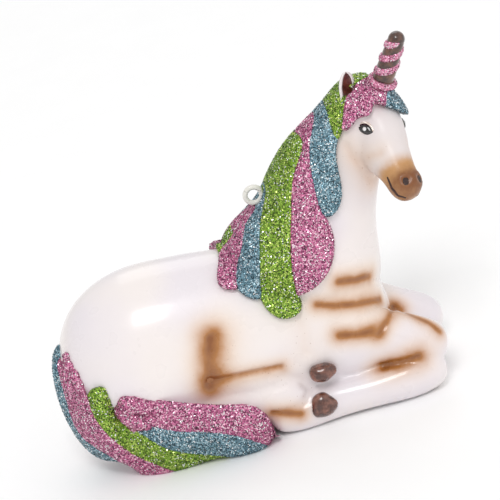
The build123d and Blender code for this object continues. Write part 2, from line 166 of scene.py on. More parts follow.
class Shader:
    """A material's node tree while it is built."""

    def __init__(self, name: str) -> None:
        """Start an empty material with its surface shader.

        Args:
            name: the material's name.
        """
        self.material = bpy.data.materials.new(name)
        self.material.use_nodes = True
        self.tree = self.material.node_tree
        self.tree.nodes.clear()
        self.output = self.tree.nodes.new("ShaderNodeOutputMaterial")
        self.surface = self.tree.nodes.new("ShaderNodeBsdfPrincipled")
        self.tree.links.new(self.surface.outputs["BSDF"], self.output.inputs["Surface"])
        self.places = self.node("ShaderNodeTexCoord").outputs["Object"]

    def node(self, kind: str, settings: dict | None = None, values: dict | None = None) -> bpy.types.Node:
        """Add a node.

        Args:
            kind: the node's type name.
            settings: the node's own options, set before its sockets.
            values: socket name to a number, colour, term or output socket.

        Returns:
            The new node.
        """
        made = self.tree.nodes.new(kind)
        for key, value in (settings or {}).items():
            setattr(made, key, value)
        for key, value in (values or {}).items():
            self.feed(made.inputs[key], value)
        return made

    def feed(self, place: bpy.types.NodeSocket, value: object) -> None:
        """Put a value into an input socket.

        Args:
            place: the input socket.
            value: a number, colour, term or output socket.
        """
        if isinstance(value, Term):
            self.tree.links.new(value.socket, place)
        elif isinstance(value, bpy.types.NodeSocket):
            self.tree.links.new(value, place)
        else:
            place.default_value = value

    def noise(self, scale: float, detail: float = 2.0, roughness: float = 0.5) -> Term:
        """Soft noise over the object's own places.

        Args:
            scale: waves in a metre.
            detail: how many finer layers lie on the first.
            roughness: how strong the finer layers are.

        Returns:
            The noise, about nought to one.
        """
        made = self.node(
            "ShaderNodeTexNoise",
            values={"Vector": self.places, "Scale": scale, "Detail": detail, "Roughness": roughness},
        )
        return Term(self, made.outputs["Fac"])

    def cells(self, scale: float) -> tuple[Term, bpy.types.NodeSocket]:
        """Small cells over the object's own places.

        Args:
            scale: cells in a metre.

        Returns:
            The distance from each cell's middle, and each cell's own colour.
        """
        made = self.node("ShaderNodeTexVoronoi", values={"Vector": self.places, "Scale": scale})
        return Term(self, made.outputs["Distance"]), made.outputs["Color"]

    def share_of(self, colour: bpy.types.NodeSocket) -> Term:
        """A random share from a cell's colour."""
        parts = self.node("ShaderNodeSeparateColor", values={"Color": colour})
        return Term(self, parts.outputs["Red"])

    def attribute(self, name: str) -> Term:
        """A value painted on the mesh."""
        made = self.node("ShaderNodeAttribute", {"attribute_name": name})
        return Term(self, made.outputs["Fac"])

    def mix(self, share: Term | float, first: object, second: object) -> bpy.types.NodeSocket:
        """Blend two colours.

        Args:
            share: how much of the second colour shows.
            first: a linear colour or a colour socket.
            second: a linear colour or a colour socket.

        Returns:
            The blended colour's socket.
        """
        made = self.node("ShaderNodeMix", {"data_type": "RGBA"})
        self.feed(made.inputs[0], share)
        self.feed(made.inputs[6], first)
        self.feed(made.inputs[7], second)
        return made.outputs[2]

    def stops(
        self, share: Term, stops: list[tuple[float, tuple]], sharp: bool = False
    ) -> bpy.types.NodeSocket:
        """Colour a share through a ramp.

        Args:
            share: the value from nought to one.
            stops: place and linear colour of each stop.
            sharp: whether each stop's colour holds until the next one.

        Returns:
            The colour's socket.
        """
        made = self.node("ShaderNodeValToRGB", values={"Fac": share})
        bar = made.color_ramp
        bar.interpolation = "CONSTANT" if sharp else "LINEAR"
        while len(bar.elements) < len(stops):
            bar.elements.new(0.5)
        for element, (place, colour) in zip(bar.elements, stops):
            element.position = place
            element.color = colour
        return made.outputs["Color"]

    def bump(self, height: Term, strength: float, distance: float) -> None:
        """Roughen the surface's normal by a height.

        Args:
            height: the height as a share.
            strength: how much of it shows.
            distance: what a full share stands for, in metres.
        """
        made = self.node(
            "ShaderNodeBump", values={"Height": height, "Strength": strength, "Distance": distance}
        )
        self.feed(self.surface.inputs["Normal"], made.outputs["Normal"])

    def set(self, **values: object) -> None:
        """Set the surface shader's sockets.

        Args:
            **values: socket name, with underscores for spaces, to what goes into it.
        """
        for key, value in values.items():
            self.feed(self.surface.inputs[key.replace("_", " ")], value)


@dataclass(frozen=True)
class PearlGlass:
    """Pearl white lacquer on blown glass, airbrushed with brown.

    A scale counts waves or cells to a metre, and a share runs from nought to one.
    """

    warm: tuple = (0.940, 0.908, 0.896)
    cool: tuple = (0.912, 0.885, 0.902)
    # The face's grey: painted shade laid over the pearl.
    face: tuple = (0.875, 0.840, 0.838)
    halo: tuple = (0.93, 0.79, 0.62)
    brown: tuple = (0.74, 0.51, 0.28)
    deep: tuple = (0.55, 0.33, 0.16)
    muzzle_top: tuple = (0.77, 0.58, 0.38)
    muzzle_low: tuple = (0.50, 0.30, 0.15)
    drift_scale: float = 45.0
    face_shade_share: float = 0.8
    cloud_scale: float = 260.0
    speck_scale: float = 1500.0
    speck_radius: float = 0.16
    speck_rarity: float = 0.80
    speck_share: float = 0.55
    grain_scale: float = 380.0
    sheen_scale: float = 160.0
    roughness: float = 0.24
    satin_roughness: float = 0.16
    coat: float = 0.55
    satin_uncoated: float = 0.42
    ripple_scale: float = 110.0
    ripple_height: float = 0.6 * MM

    def material(self) -> bpy.types.Material:
        """Build the lacquer.

        Returns:
            The material; it reads the painted airbrush, overspray and muzzle values, and the mask that makes
            the face matt and darkens it with painted shade.
        """
        shader = Shader("pearl_glass")
        satin = shader.attribute("satin")
        colour = self.sprayed(shader, self.pearl(shader, satin))
        shader.set(
            Base_Color=self.muzzle(shader, colour),
            Roughness=shader.noise(self.sheen_scale) * 0.08 + self.roughness + satin * self.satin_roughness,
            Coat_Weight=self.coat - satin * self.satin_uncoated,
            Coat_Roughness=0.12,
            Specular_IOR_Level=0.4,
        )
        shader.bump(shader.noise(self.ripple_scale, 1.0), 0.10, self.ripple_height)
        return shader.material

    def pearl(self, shader: Shader, satin: Term) -> bpy.types.NodeSocket:
        """The bare pearl, drifting from warm to cool, and darkened to grey on the face as painted shade.

        Args:
            shader: the shader to build in.
            satin: how far the face is matt and darkened with painted shade.

        Returns:
            The colour.
        """
        drift = shader.noise(self.drift_scale, 1.0).ramp(0.35, 0.68)
        pearl = shader.mix(drift, linear(self.warm), linear(self.cool))
        # Painted shade: the face is mixed towards its grey.
        return shader.mix(satin * self.face_shade_share, pearl, linear(self.face))

    def sprayed(self, shader: Shader, ground: bpy.types.NodeSocket) -> bpy.types.NodeSocket:
        """Airbrushed brown over a ground, with stray specks round it.

        Args:
            shader: the shader to build in.
            ground: the colour below.

        Returns:
            The colour.
        """
        cloud = shader.noise(self.cloud_scale, 3.0) * 0.55 + 0.72
        spray = (shader.attribute("airbrush") * cloud).least(1.0)
        stops = [(0.05, linear(self.halo)), (0.60, linear(self.brown)), (1.0, linear(self.deep))]
        shaded = shader.mix((spray * 1.35).least(1.0), ground, shader.stops(spray, stops))
        distance, cell = shader.cells(self.speck_scale)
        speck = (self.speck_radius - distance).above(0.0) * shader.share_of(cell).above(self.speck_rarity)
        near_paint = shader.attribute("overspray").ramp(0.05, 0.4)
        return shader.mix(speck * near_paint * self.speck_share, shaded, linear(self.deep))

    def muzzle(self, shader: Shader, ground: bpy.types.NodeSocket) -> bpy.types.NodeSocket:
        """The muzzle's grained brown over a ground.

        Args:
            shader: the shader to build in.
            ground: the colour below.

        Returns:
            The colour.
        """
        grain = shader.noise(self.grain_scale, 4.0, 0.6) * 0.7 + 0.65
        nose = shader.attribute("muzzle") * grain
        paint = shader.mix(nose.ramp(0.40, 1.45), linear(self.muzzle_top), linear(self.muzzle_low))
        return shader.mix(nose.ramp(0.03, 0.60), ground, paint)


@dataclass(frozen=True)
class Glitter:
    """Coarse glitter: flakes of one colour in deep, body and light tones, with near-black ones as painted
    shade and white ones as painted glints among them.
    """

    tint: Tint
    stop_shares: tuple = (0.0, 0.10, 0.30, 0.72, 0.90)
    # The darkest flakes are the deep tint darkened as painted shade; the white ones are painted glints.
    dark_share: float = 0.55
    painted_glint_white: tuple = (0.97, 0.97, 0.97)
    chip_scale: float = 3400.0
    chip_height: float = 0.15 * MM

    def tones(self) -> list[tuple[float, tuple]]:
        """Stops from the darkest flake, a painted shade, through the tint's own tones, to the white of a
        painted glint.
        """
        _, deep, body, light = self.tint.value
        dark = tuple(c * self.dark_share for c in deep)
        return [(s, linear(c)) for s, c in zip(self.stop_shares, (dark, deep, body, light, self.painted_glint_white))]

    def flakes(self) -> bpy.types.Material:
        """The loose flakes; each one has its own painted tone, some of them painted shade or painted glints.
        """
        shader = Shader(self.tint.name.lower() + "_flakes")
        tone = shader.attribute("flake_tone")
        shader.set(
            Base_Color=shader.stops(tone, self.tones(), sharp=True),
            Metallic=0.55 + tone * 0.25,
            Roughness=0.42 - tone * 0.16,
            Coat_Weight=0.4,
            Coat_Roughness=0.15,
        )
        return shader.material

    def bed(self) -> bpy.types.Material:
        """The glued bed between the flakes, full of smaller chips, the darkest of them painted shade."""
        shader = Shader(self.tint.name.lower() + "_bed")
        distance, cell = shader.cells(self.chip_scale)
        chip = shader.share_of(cell)
        shader.set(
            Base_Color=shader.stops(chip * 0.86, self.tones(), sharp=True),
            Metallic=0.3 + chip * 0.3,
            Roughness=0.5 - chip * 0.15,
        )
        shader.bump(distance, 0.8, self.chip_height)
        return shader.material


@dataclass(frozen=True)
class Lacquer:
    """Thick gloss paint, brushed on in streaks."""

    name: str
    dark: tuple
    light: tuple
    streak: float = 350.0
    roughness: float = 0.18
    coat: float = 0.8
    streak_height: float = 0.12 * MM

    def material(self, ending: str = "") -> bpy.types.Material:
        """Build the streaked gloss paint.

        Args:
            ending: what follows the paint's name in this material's.

        Returns:
            The material.
        """
        shader = Shader(self.name + ending)
        streaks = shader.noise(self.streak, 3.0, 0.6)
        blot = shader.noise(self.streak * 3.0, 2.0)
        colour = shader.mix(streaks.ramp(0.35, 0.72), linear(self.dark), linear(self.light))
        shader.set(
            Base_Color=shader.mix(blot.ramp(0.55, 0.8) * 0.35, colour, linear(self.dark)),
            Roughness=self.roughness + streaks * 0.12,
            Coat_Weight=self.coat,
            Coat_Roughness=0.06,
        )
        shader.bump(streaks, 0.25, self.streak_height)
        return shader.material


@dataclass(frozen=True)
class CoatedWire:
    """White coated wire with its metal just showing through; a scale counts waves to a metre."""

    coat: tuple = (0.90, 0.89, 0.86)
    metal: tuple = (0.70, 0.69, 0.67)
    wear_scale: float = 900.0
    ripple_scale: float = 1500.0
    ripple_height: float = 0.05 * MM

    def material(self) -> bpy.types.Material:
        """Build the coated metal."""
        shader = Shader("coated_wire")
        worn = shader.noise(self.wear_scale, 3.0).ramp(0.58, 0.75)
        shader.set(
            Base_Color=shader.mix(worn, linear(self.coat), linear(self.metal)),
            Metallic=worn * 0.7,
            Roughness=0.28 - worn * 0.06,
            Coat_Weight=0.5,
            Coat_Roughness=0.1,
        )
        shader.bump(shader.noise(self.ripple_scale, 2.0), 0.2, self.ripple_height)
        return shader.material


HORN_PAINT = Lacquer("horn_lacquer", (0.22, 0.12, 0.09), (0.44, 0.28, 0.20), 500.0, 0.24)
EAR_LINING = Lacquer("ear_lining", (0.30, 0.12, 0.08), (0.46, 0.22, 0.15), 600.0, 0.3)
EYE_CREAM = Lacquer("eye_rim", (0.80, 0.72, 0.66), (0.95, 0.91, 0.87), 700.0)
EYE_BLACK = Lacquer("eye_black", (0.035, 0.03, 0.03), (0.10, 0.08, 0.075), 900.0, 0.08)
EYE_WHITE = Lacquer("eye_dot", (0.86, 0.86, 0.86), (0.97, 0.97, 0.97), 900.0, 0.15)
MUZZLE_LINE = Lacquer("muzzle_line", (0.15, 0.06, 0.03), (0.27, 0.13, 0.07), 900.0, 0.45, 0.1)
HOOF_ENAMEL = Lacquer("hoof_enamel", (0.29, 0.15, 0.11), (0.56, 0.36, 0.29), 420.0, 0.2)


def new_object(name: str, mesh: bpy.types.Mesh) -> bpy.types.Object:
    """Show a mesh as an object of the scene at the origin.

    Args:
        name: the object's name.
        mesh: its mesh.

    Returns:
        The object.
    """
    made = bpy.data.objects.new(name, mesh)
    bpy.context.scene.collection.objects.link(made)
    return made


def baked(source: bpy.types.Object, name: str) -> bpy.types.Object:
    """Replace an object by a plain mesh with its modifiers worked in.

    Args:
        source: the object with modifiers, removed afterwards.
        name: the finished piece's name.

    Returns:
        The finished piece.
    """
    graph = bpy.context.evaluated_depsgraph_get()
    mesh = bpy.data.meshes.new_from_object(source.evaluated_get(graph))
    bpy.data.objects.remove(source)
    mesh.name = name
    return new_object(name, mesh)


def points_of(mesh: bpy.types.Mesh) -> np.ndarray:
    """Read a mesh's vertices.

    Args:
        mesh: the mesh.

    Returns:
        Rows of X, Y and Z.
    """
    flat = np.empty(len(mesh.vertices) * 3, dtype=np.float32)
    mesh.vertices.foreach_get("co", flat)
    return flat.reshape(-1, 3).astype(float)


def set_points(mesh: bpy.types.Mesh, points: np.ndarray) -> None:
    """Move the mesh's vertices to new places."""
    mesh.vertices.foreach_set("co", points.astype(np.float32).ravel())
    mesh.update()


def normals_of(mesh: bpy.types.Mesh) -> np.ndarray:
    """Read the outward direction at each vertex.

    Args:
        mesh: the mesh.

    Returns:
        Rows of X, Y and Z, each of length one.
    """
    flat = np.empty(len(mesh.vertices) * 3, dtype=np.float32)
    mesh.vertex_normals.foreach_get("vector", flat)
    return flat.reshape(-1, 3).astype(float)


def set_values(mesh: bpy.types.Mesh, name: str, values: np.ndarray) -> None:
    """Paint one number on each vertex."""
    layer = mesh.attributes.new(name, "FLOAT", "POINT")
    layer.data.foreach_set("value", values.astype(np.float32))


def relax(mesh: bpy.types.Mesh, rounds: int, hold: float = 0.0) -> None:
    """Smooth a mesh by drawing each vertex towards its neighbours.

    Args:
        mesh: the mesh to smooth.
        rounds: how many times to do it.
        hold: how much of each step is given back, to keep the volume.
    """
    points = points_of(mesh)
    ends = np.empty(len(mesh.edges) * 2, dtype=np.int32)
    mesh.edges.foreach_get("vertices", ends)
    first, second = ends.reshape(-1, 2).T
    both, other = np.concatenate((first, second)), np.concatenate((second, first))
    count = np.maximum(np.bincount(both, minlength=len(points)), 1)
    steps = (0.5, -0.5 * hold) if hold else (0.5,)
    for _ in range(rounds):
        for step in steps:
            middle = np.stack(
                [np.bincount(both, points[other, axis], len(points)) / count for axis in range(3)], 1
            )
            points += step * (middle - points)
    set_points(mesh, points)


def grow(mesh: bpy.types.Mesh, distance: float) -> None:
    """Push every vertex outwards by a distance."""
    set_points(mesh, points_of(mesh) + normals_of(mesh) * distance)


def swell_form(form: bmesh.types.BMesh, distance: float) -> None:
    """Push a loose form's vertices outwards before it is rebuilt.

    Args:
        form: the form, changed in place.
        distance: how far they go.
    """
    form.normal_update()
    for vert in form.verts:
        vert.co += vert.normal * distance


def merged_copy(node: str) -> bmesh.types.BMesh:
    """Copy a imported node's mesh and join its loose triangles.

    Args:
        node: the node's name.

    Returns:
        The copy.
    """
    made = bmesh.new()
    made.from_mesh(bpy.data.objects[node].data)
    bmesh.ops.remove_doubles(made, verts=made.verts, dist=JOIN_GAP)
    return made


def remeshed(form: bmesh.types.BMesh, voxel: float, name: str) -> bpy.types.Mesh:
    """Rebuild closed forms as one even skin.

    Args:
        form: one or more closed, perhaps overlapping shells; freed afterwards.
        voxel: the size of the skin's faces.
        name: the mesh's name.

    Returns:
        The new mesh.
    """
    mesh = bpy.data.meshes.new(name)
    form.to_mesh(mesh)
    form.free()
    holder = new_object(name + "_form", mesh)
    modifier = holder.modifiers.new("even skin", "REMESH")
    modifier.mode = "VOXEL"
    modifier.voxel_size = voxel
    modifier.use_smooth_shade = True
    piece = baked(holder, name)
    mesh = piece.data
    bpy.data.objects.remove(piece)
    return mesh


def outermost(mesh: bpy.types.Mesh) -> None:
    """Drop loose specks: keep only the connected shell that holds the vertex furthest along X.

    Args:
        mesh: the mesh, changed in place.
    """
    form = bmesh.new()
    form.from_mesh(mesh)
    start = max(form.verts, key=lambda vert: vert.co.x)
    kept = {start}
    waiting = [start]
    while waiting:
        vert = waiting.pop()
        for edge in vert.link_edges:
            other = edge.other_vert(vert)
            if other not in kept:
                kept.add(other)
                waiting.append(other)
    loose = [vert for vert in form.verts if vert not in kept]
    bmesh.ops.delete(form, geom=loose, context="VERTS")
    form.to_mesh(mesh)
    form.free()


def distance_to_line(points: np.ndarray, line: list[Vector]) -> np.ndarray:
    """Each point's distance to a chain of straight runs.

    Args:
        points: rows of X, Y and Z.
        line: the chain's corners; one corner alone is a spot.

    Returns:
        The distances.
    """
    best = np.full(len(points), np.inf)
    for start, end in zip(line, line[1:] or line):
        a, b = np.array(start), np.array(end)
        run = b - a
        share = np.clip(((points - a) @ run) / max(run @ run, TINY), 0.0, 1.0)
        best = np.minimum(best, np.linalg.norm(points - (a + share[:, None] * run), axis=1))
    return best


def watching_point(side: Side) -> Vector:
    """Where the eye stands that looks at one side of the figure."""
    return Vector((WATCH[0], side.value * WATCH[1], WATCH[2]))


class Surface:
    """The glass skin as something to lay paint and pieces on."""

    stand_off = 100.0 * MM
    flank_off = 15.0 * MM

    def __init__(self, mesh: bpy.types.Mesh) -> None:
        """Index the skin's faces.

        Args:
            mesh: the skin.
        """
        points = [vert.co.copy() for vert in mesh.vertices]
        faces = [tuple(face.vertices) for face in mesh.polygons]
        self.tree = BVHTree.FromPolygons(points, faces)

    def under(self, spot: tuple[float, float], side: Side) -> Vector:
        """The skin's point under a spot of the side view.

        Args:
            spot: X and Z on the middle plane, in millimetres.
            side: the side to look at.

        Returns:
            The first point met when looking from the watching point through the spot, or
            the nearest one to the flank where none is met.
        """
        aim = Vector((spot[0] * MM, 0.0, spot[1] * MM))
        ahead = (aim - watching_point(side)).normalized()
        hit, _, _, _ = self.tree.ray_cast(aim - ahead * self.stand_off, ahead)
        if hit is None:
            hit, _, _, _ = self.tree.find_nearest(aim - ahead * self.flank_off)
        return hit

    def line(self, spots: tuple, side: Side, step: float = 1.2) -> list[Vector]:
        """The points under a chain of spots, close enough to follow the skin.

        Args:
            spots: X and Z on the middle plane, in millimetres.
            side: the side to look at.
            step: about how far apart the points are seen, in millimetres.

        Returns:
            The points on the skin.
        """
        found = [self.under(spots[0], side)]
        for start, end in zip(spots, spots[1:]):
            parts = max(1, round(math.dist(start, end) / step))
            for part in range(1, parts + 1):
                share = part / parts
                between = tuple(a + (b - a) * share for a, b in zip(start, end))
                found.append(self.under(between, side))
        return found

    def nearest(self, point: Vector) -> tuple[Vector, Vector]:
        """The nearest point of the skin and its outward direction."""
        hit, normal, _, _ = self.tree.find_nearest(point)
        return hit, normal


@dataclass(frozen=True)
class Head:
    """The head's own frame, from the poll to the nose."""

    poll: tuple = (39.5 * MM, 0.6 * MM, 73.2 * MM)
    nose_way: tuple = (0.154, -0.724, -0.672)
    face_way: tuple = (0.518, -0.521, 0.680)
    length: float = 27.5 * MM

    def sideways(self) -> Vector:
        """The direction out of the head's far cheek."""
        return Vector(self.nose_way).cross(Vector(self.face_way)).normalized()

    def face(self) -> Vector:
        """The direction up out of the face, square to the nose."""
        return self.sideways().cross(Vector(self.nose_way)).normalized()

    def at(self, reach: float, rise: float, across: float) -> Vector:
        """A point of the head given as shares of its length.

        Args:
            reach: how far from the poll towards the nose.
            rise: how far up out of the face.
            across: how far out to the far cheek; less than nought is the near one.

        Returns:
            The point.
        """
        return (
            Vector(self.poll)
            + Vector(self.nose_way).normalized() * reach * self.length
            + self.face() * rise * self.length
            + self.sideways() * across * self.length
        )

    def mirrored(self, point: Vector) -> Vector:
        """The same point on the head's other side."""
        side = self.sideways()
        return point - side * (2.0 * (point - Vector(self.poll)).dot(side))

    def reach(self, points: np.ndarray) -> np.ndarray:
        """How far along the head each point lies, as a share of its length."""
        return (points - np.array(self.poll)) @ np.array(Vector(self.nose_way).normalized()) / self.length


@dataclass(frozen=True)
class Fold:
    """A fold of the form with airbrushed shading in it.

    Its spots are X and Z on the middle plane. They, its radius and its depth are in millimetres.
    """

    spots: tuple
    paint: float
    radius: float
    depth: float = 0.0
    both: bool = True
    on_head: bool = False


FOLDS = (
    Fold(((-13.3, 23.8), (-15.1, 17.4), (-16.8, 10.8)), 0.95, 1.15, 0.6),
    Fold(((-11.8, 23.4), (-13.4, 17.4), (-15.1, 12.1)), 0.50, 1.7),
    Fold(((-16.5, 11.8), (-12.6, 11.5), (-6.1, 11.1), (2.0, 10.4)), 0.72, 0.7, 0.8),
    Fold(((2.1, 7.7), (5.7, 5.4), (7.2, 1.9), (5.9, -1.3), (2.9, -2.4)), 0.10, 1.2, 0.5),
    Fold(((-3.3, -1.6), (0.4, -2.9), (3.5, -4.2)), 0.90, 0.75, 0.4),
    Fold(((27.4, 2.5), (31.6, 2.3), (36.4, 2.5)), 0.95, 1.2, 0.4),
    Fold(((28.2, 11.5), (31.5, 15.2), (33.7, 17.9)), 0.85, 0.8, 0.5, both=False),
    Fold(((33.9, 17.3), (37.6, 14.4), (41.4, 11.0), (43.5, 7.7)), 0.85, 0.8, 0.2, both=False),
    Fold(((22.0, 28.9), (26.0, 28.2), (29.6, 28.0)), 0.92, 0.9, 0.3),
    Fold(((15.1, 24.5), (19.4, 22.9), (24.9, 21.6), (30.8, 21.1)), 0.88, 0.75, 0.3),
    Fold(((18.4, 14.5), (22.3, 13.4), (26.5, 13.1)), 0.92, 0.85, 0.3),
    Fold(((9.4, 23.0), (9.7, 17.7), (9.4, 12.5)), 0.14, 1.4, 0.35),
    Fold(((32.5, 64.1), (33.4, 60.5), (35.3, 56.8), (36.3, 53.3)), 0.26, 1.1, 0.45, on_head=True),
    Fold(((37.0, 59.6), (40.2, 59.8)), 0.26, 0.9, 0.25, on_head=True),
)


def bell(away: np.ndarray) -> np.ndarray:
    """One at no distance, fading smoothly to nought past about two."""
    return np.exp(-(away**2))


@dataclass
class GlassBody:
    """The blown body with its neck, head and folded legs.

    The skin has both sides of the blown wall, which meet in the pike's open bore.
    A reach counts a fold's or a nostril's own radius. A spot is X and Z on the middle plane, in
    millimetres, and a middle is a share of the head's length.
    """

    voxel: float = 0.5 * MM
    fillet_rounds: int = 7
    fair_rounds: int = 10
    fair_hold: float = 1.04
    fold_tightness: float = 0.8
    core_share: float = 0.30
    haze_share: float = 0.70
    haze_reach: float = 3.5
    speck_share: float = 0.6
    speck_reach: float = 2.6
    nostril_spot: tuple = (44.7, 50.6)
    nostril_radius: float = 0.85 * MM
    nostril_depth: float = 0.55 * MM
    rim_share: float = 0.30
    rim_reach: float = 1.9
    rim_tightness: float = 2.0
    flare: float = 0.75 * MM
    flare_radius: float = 2.5 * MM
    nostril_shade: float = 0.45
    nostril_shade_radius: float = 2.3 * MM
    eye_spot: tuple = (37.9, 67.4)
    socket: float = 0.16 * MM
    socket_radius: float = 2.8 * MM
    nose_fade: tuple = (0.60, 0.86)
    nose_middle: float = 0.85
    nose_radius: float = 11.0 * MM
    satin_middle: float = 0.45
    satin_radius: float = 10.0 * MM

    def build(self, head: Head) -> bpy.types.Object:
        """Make the skin with its folds and paint.

        Args:
            head: the head's frame.

        Returns:
            The finished piece.
        """
        mesh = remeshed(merged_copy("glass_body"), self.voxel, "glass_skin")
        outermost(mesh)
        relax(mesh, self.fillet_rounds)
        relax(mesh, self.fair_rounds, hold=self.fair_hold)
        self.sculpt(mesh, head)
        mesh.materials.clear()
        mesh.materials.append(PearlGlass().material())
        piece = new_object("glass_skin", mesh)
        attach(piece, "ornament")
        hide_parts("glass_body")
        return piece

    def sculpt(self, mesh: bpy.types.Mesh, head: Head) -> None:
        """Press the folds and nostrils in and paint the shading round them.

        Args:
            mesh: the skin, changed in place.
            head: the head's frame.
        """
        skin = Surface(mesh)
        points, normals = points_of(mesh), normals_of(mesh)
        press, clear, clean = self.folded(points, skin, head)
        shade = np.zeros(len(points))
        for centre in self.both_sides(self.nostril_spot, skin, head):
            away = np.linalg.norm(points - np.array(centre), axis=1) / self.nostril_radius
            press += self.nostril_depth * bell(away)
            press -= self.rim_share * self.nostril_depth * np.exp(
                -((away - self.rim_reach) ** 2) * self.rim_tightness
            )
            press -= self.flare * bell(away * self.nostril_radius / self.flare_radius)
            shade += bell(away * self.nostril_radius / self.nostril_shade_radius)
        for centre in self.both_sides(self.eye_spot, skin, head):
            away = np.linalg.norm(points - np.array(centre), axis=1) / self.socket_radius
            press += self.socket * bell(away)
        set_points(mesh, points - normals * press[:, None])
        set_values(mesh, "airbrush", 1.0 - clear)
        set_values(mesh, "overspray", 1.0 - clean)
        self.paint_head(mesh, points, head, shade)

    def folded(self, points: np.ndarray, skin: Surface, head: Head) -> tuple[np.ndarray, ...]:
        """Work out what the folds do at every point.

        Args:
            points: the skin's points.
            skin: the skin itself.
            head: the head's frame.

        Returns:
            How far each point is pressed in, how clear of paint and how clean of specks it is.
        """
        press = np.zeros(len(points))
        clear, clean = np.ones(len(points)), np.ones(len(points))
        for fold in FOLDS:
            lines = [skin.line(fold.spots, Side.NEAR)]
            if fold.on_head:
                lines.append([skin.nearest(head.mirrored(p))[0] for p in lines[0]])
            elif fold.both:
                lines.append(skin.line(fold.spots, Side.FAR))
            for line in lines:
                away = distance_to_line(points, line) / (fold.radius * MM)
                press += fold.depth * MM * np.exp(-(away**2) * self.fold_tightness)
                core, haze = bell(away), bell(away / self.haze_reach)
                clear *= 1.0 - fold.paint * (self.core_share * core + self.haze_share * haze)
                clean *= 1.0 - self.speck_share * bell(away / self.speck_reach)
        return press, clear, clean

    def paint_head(self, mesh: bpy.types.Mesh, points: np.ndarray, head: Head, shade: np.ndarray) -> None:
        """Paint where the muzzle is brown, and where the face is matt and darkened with painted shade.

        Args:
            mesh: the skin, changed in place.
            points: its points before they were pressed in.
            head: the head's frame.
            shade: how dark each point is beside a nostril.
        """
        nose = np.array(head.at(self.nose_middle, 0.0, 0.0))
        near_nose = np.linalg.norm(points - nose, axis=1) < self.nose_radius
        low, high = self.nose_fade
        fade = np.clip((head.reach(points) - low) / (high - low), 0.0, 1.0)
        face = np.array(head.at(self.satin_middle, 0.0, 0.0))
        away = np.linalg.norm(points - face, axis=1) / self.satin_radius
        # The face's mask: less coat there, and a painted shade of grey.
        set_values(mesh, "satin", np.clip(2.0 - away, 0.0, 1.0))
        set_values(mesh, "muzzle", np.where(near_nose, fade + self.nostril_shade * shade, 0.0))

    def both_sides(self, spot: tuple[float, float], skin: Surface, head: Head) -> list[Vector]:
        """A spot of the head's near side on the skin, and the same one on its far side."""
        near = skin.under(spot, Side.NEAR)
        return [near, skin.nearest(head.mirrored(near))[0]]


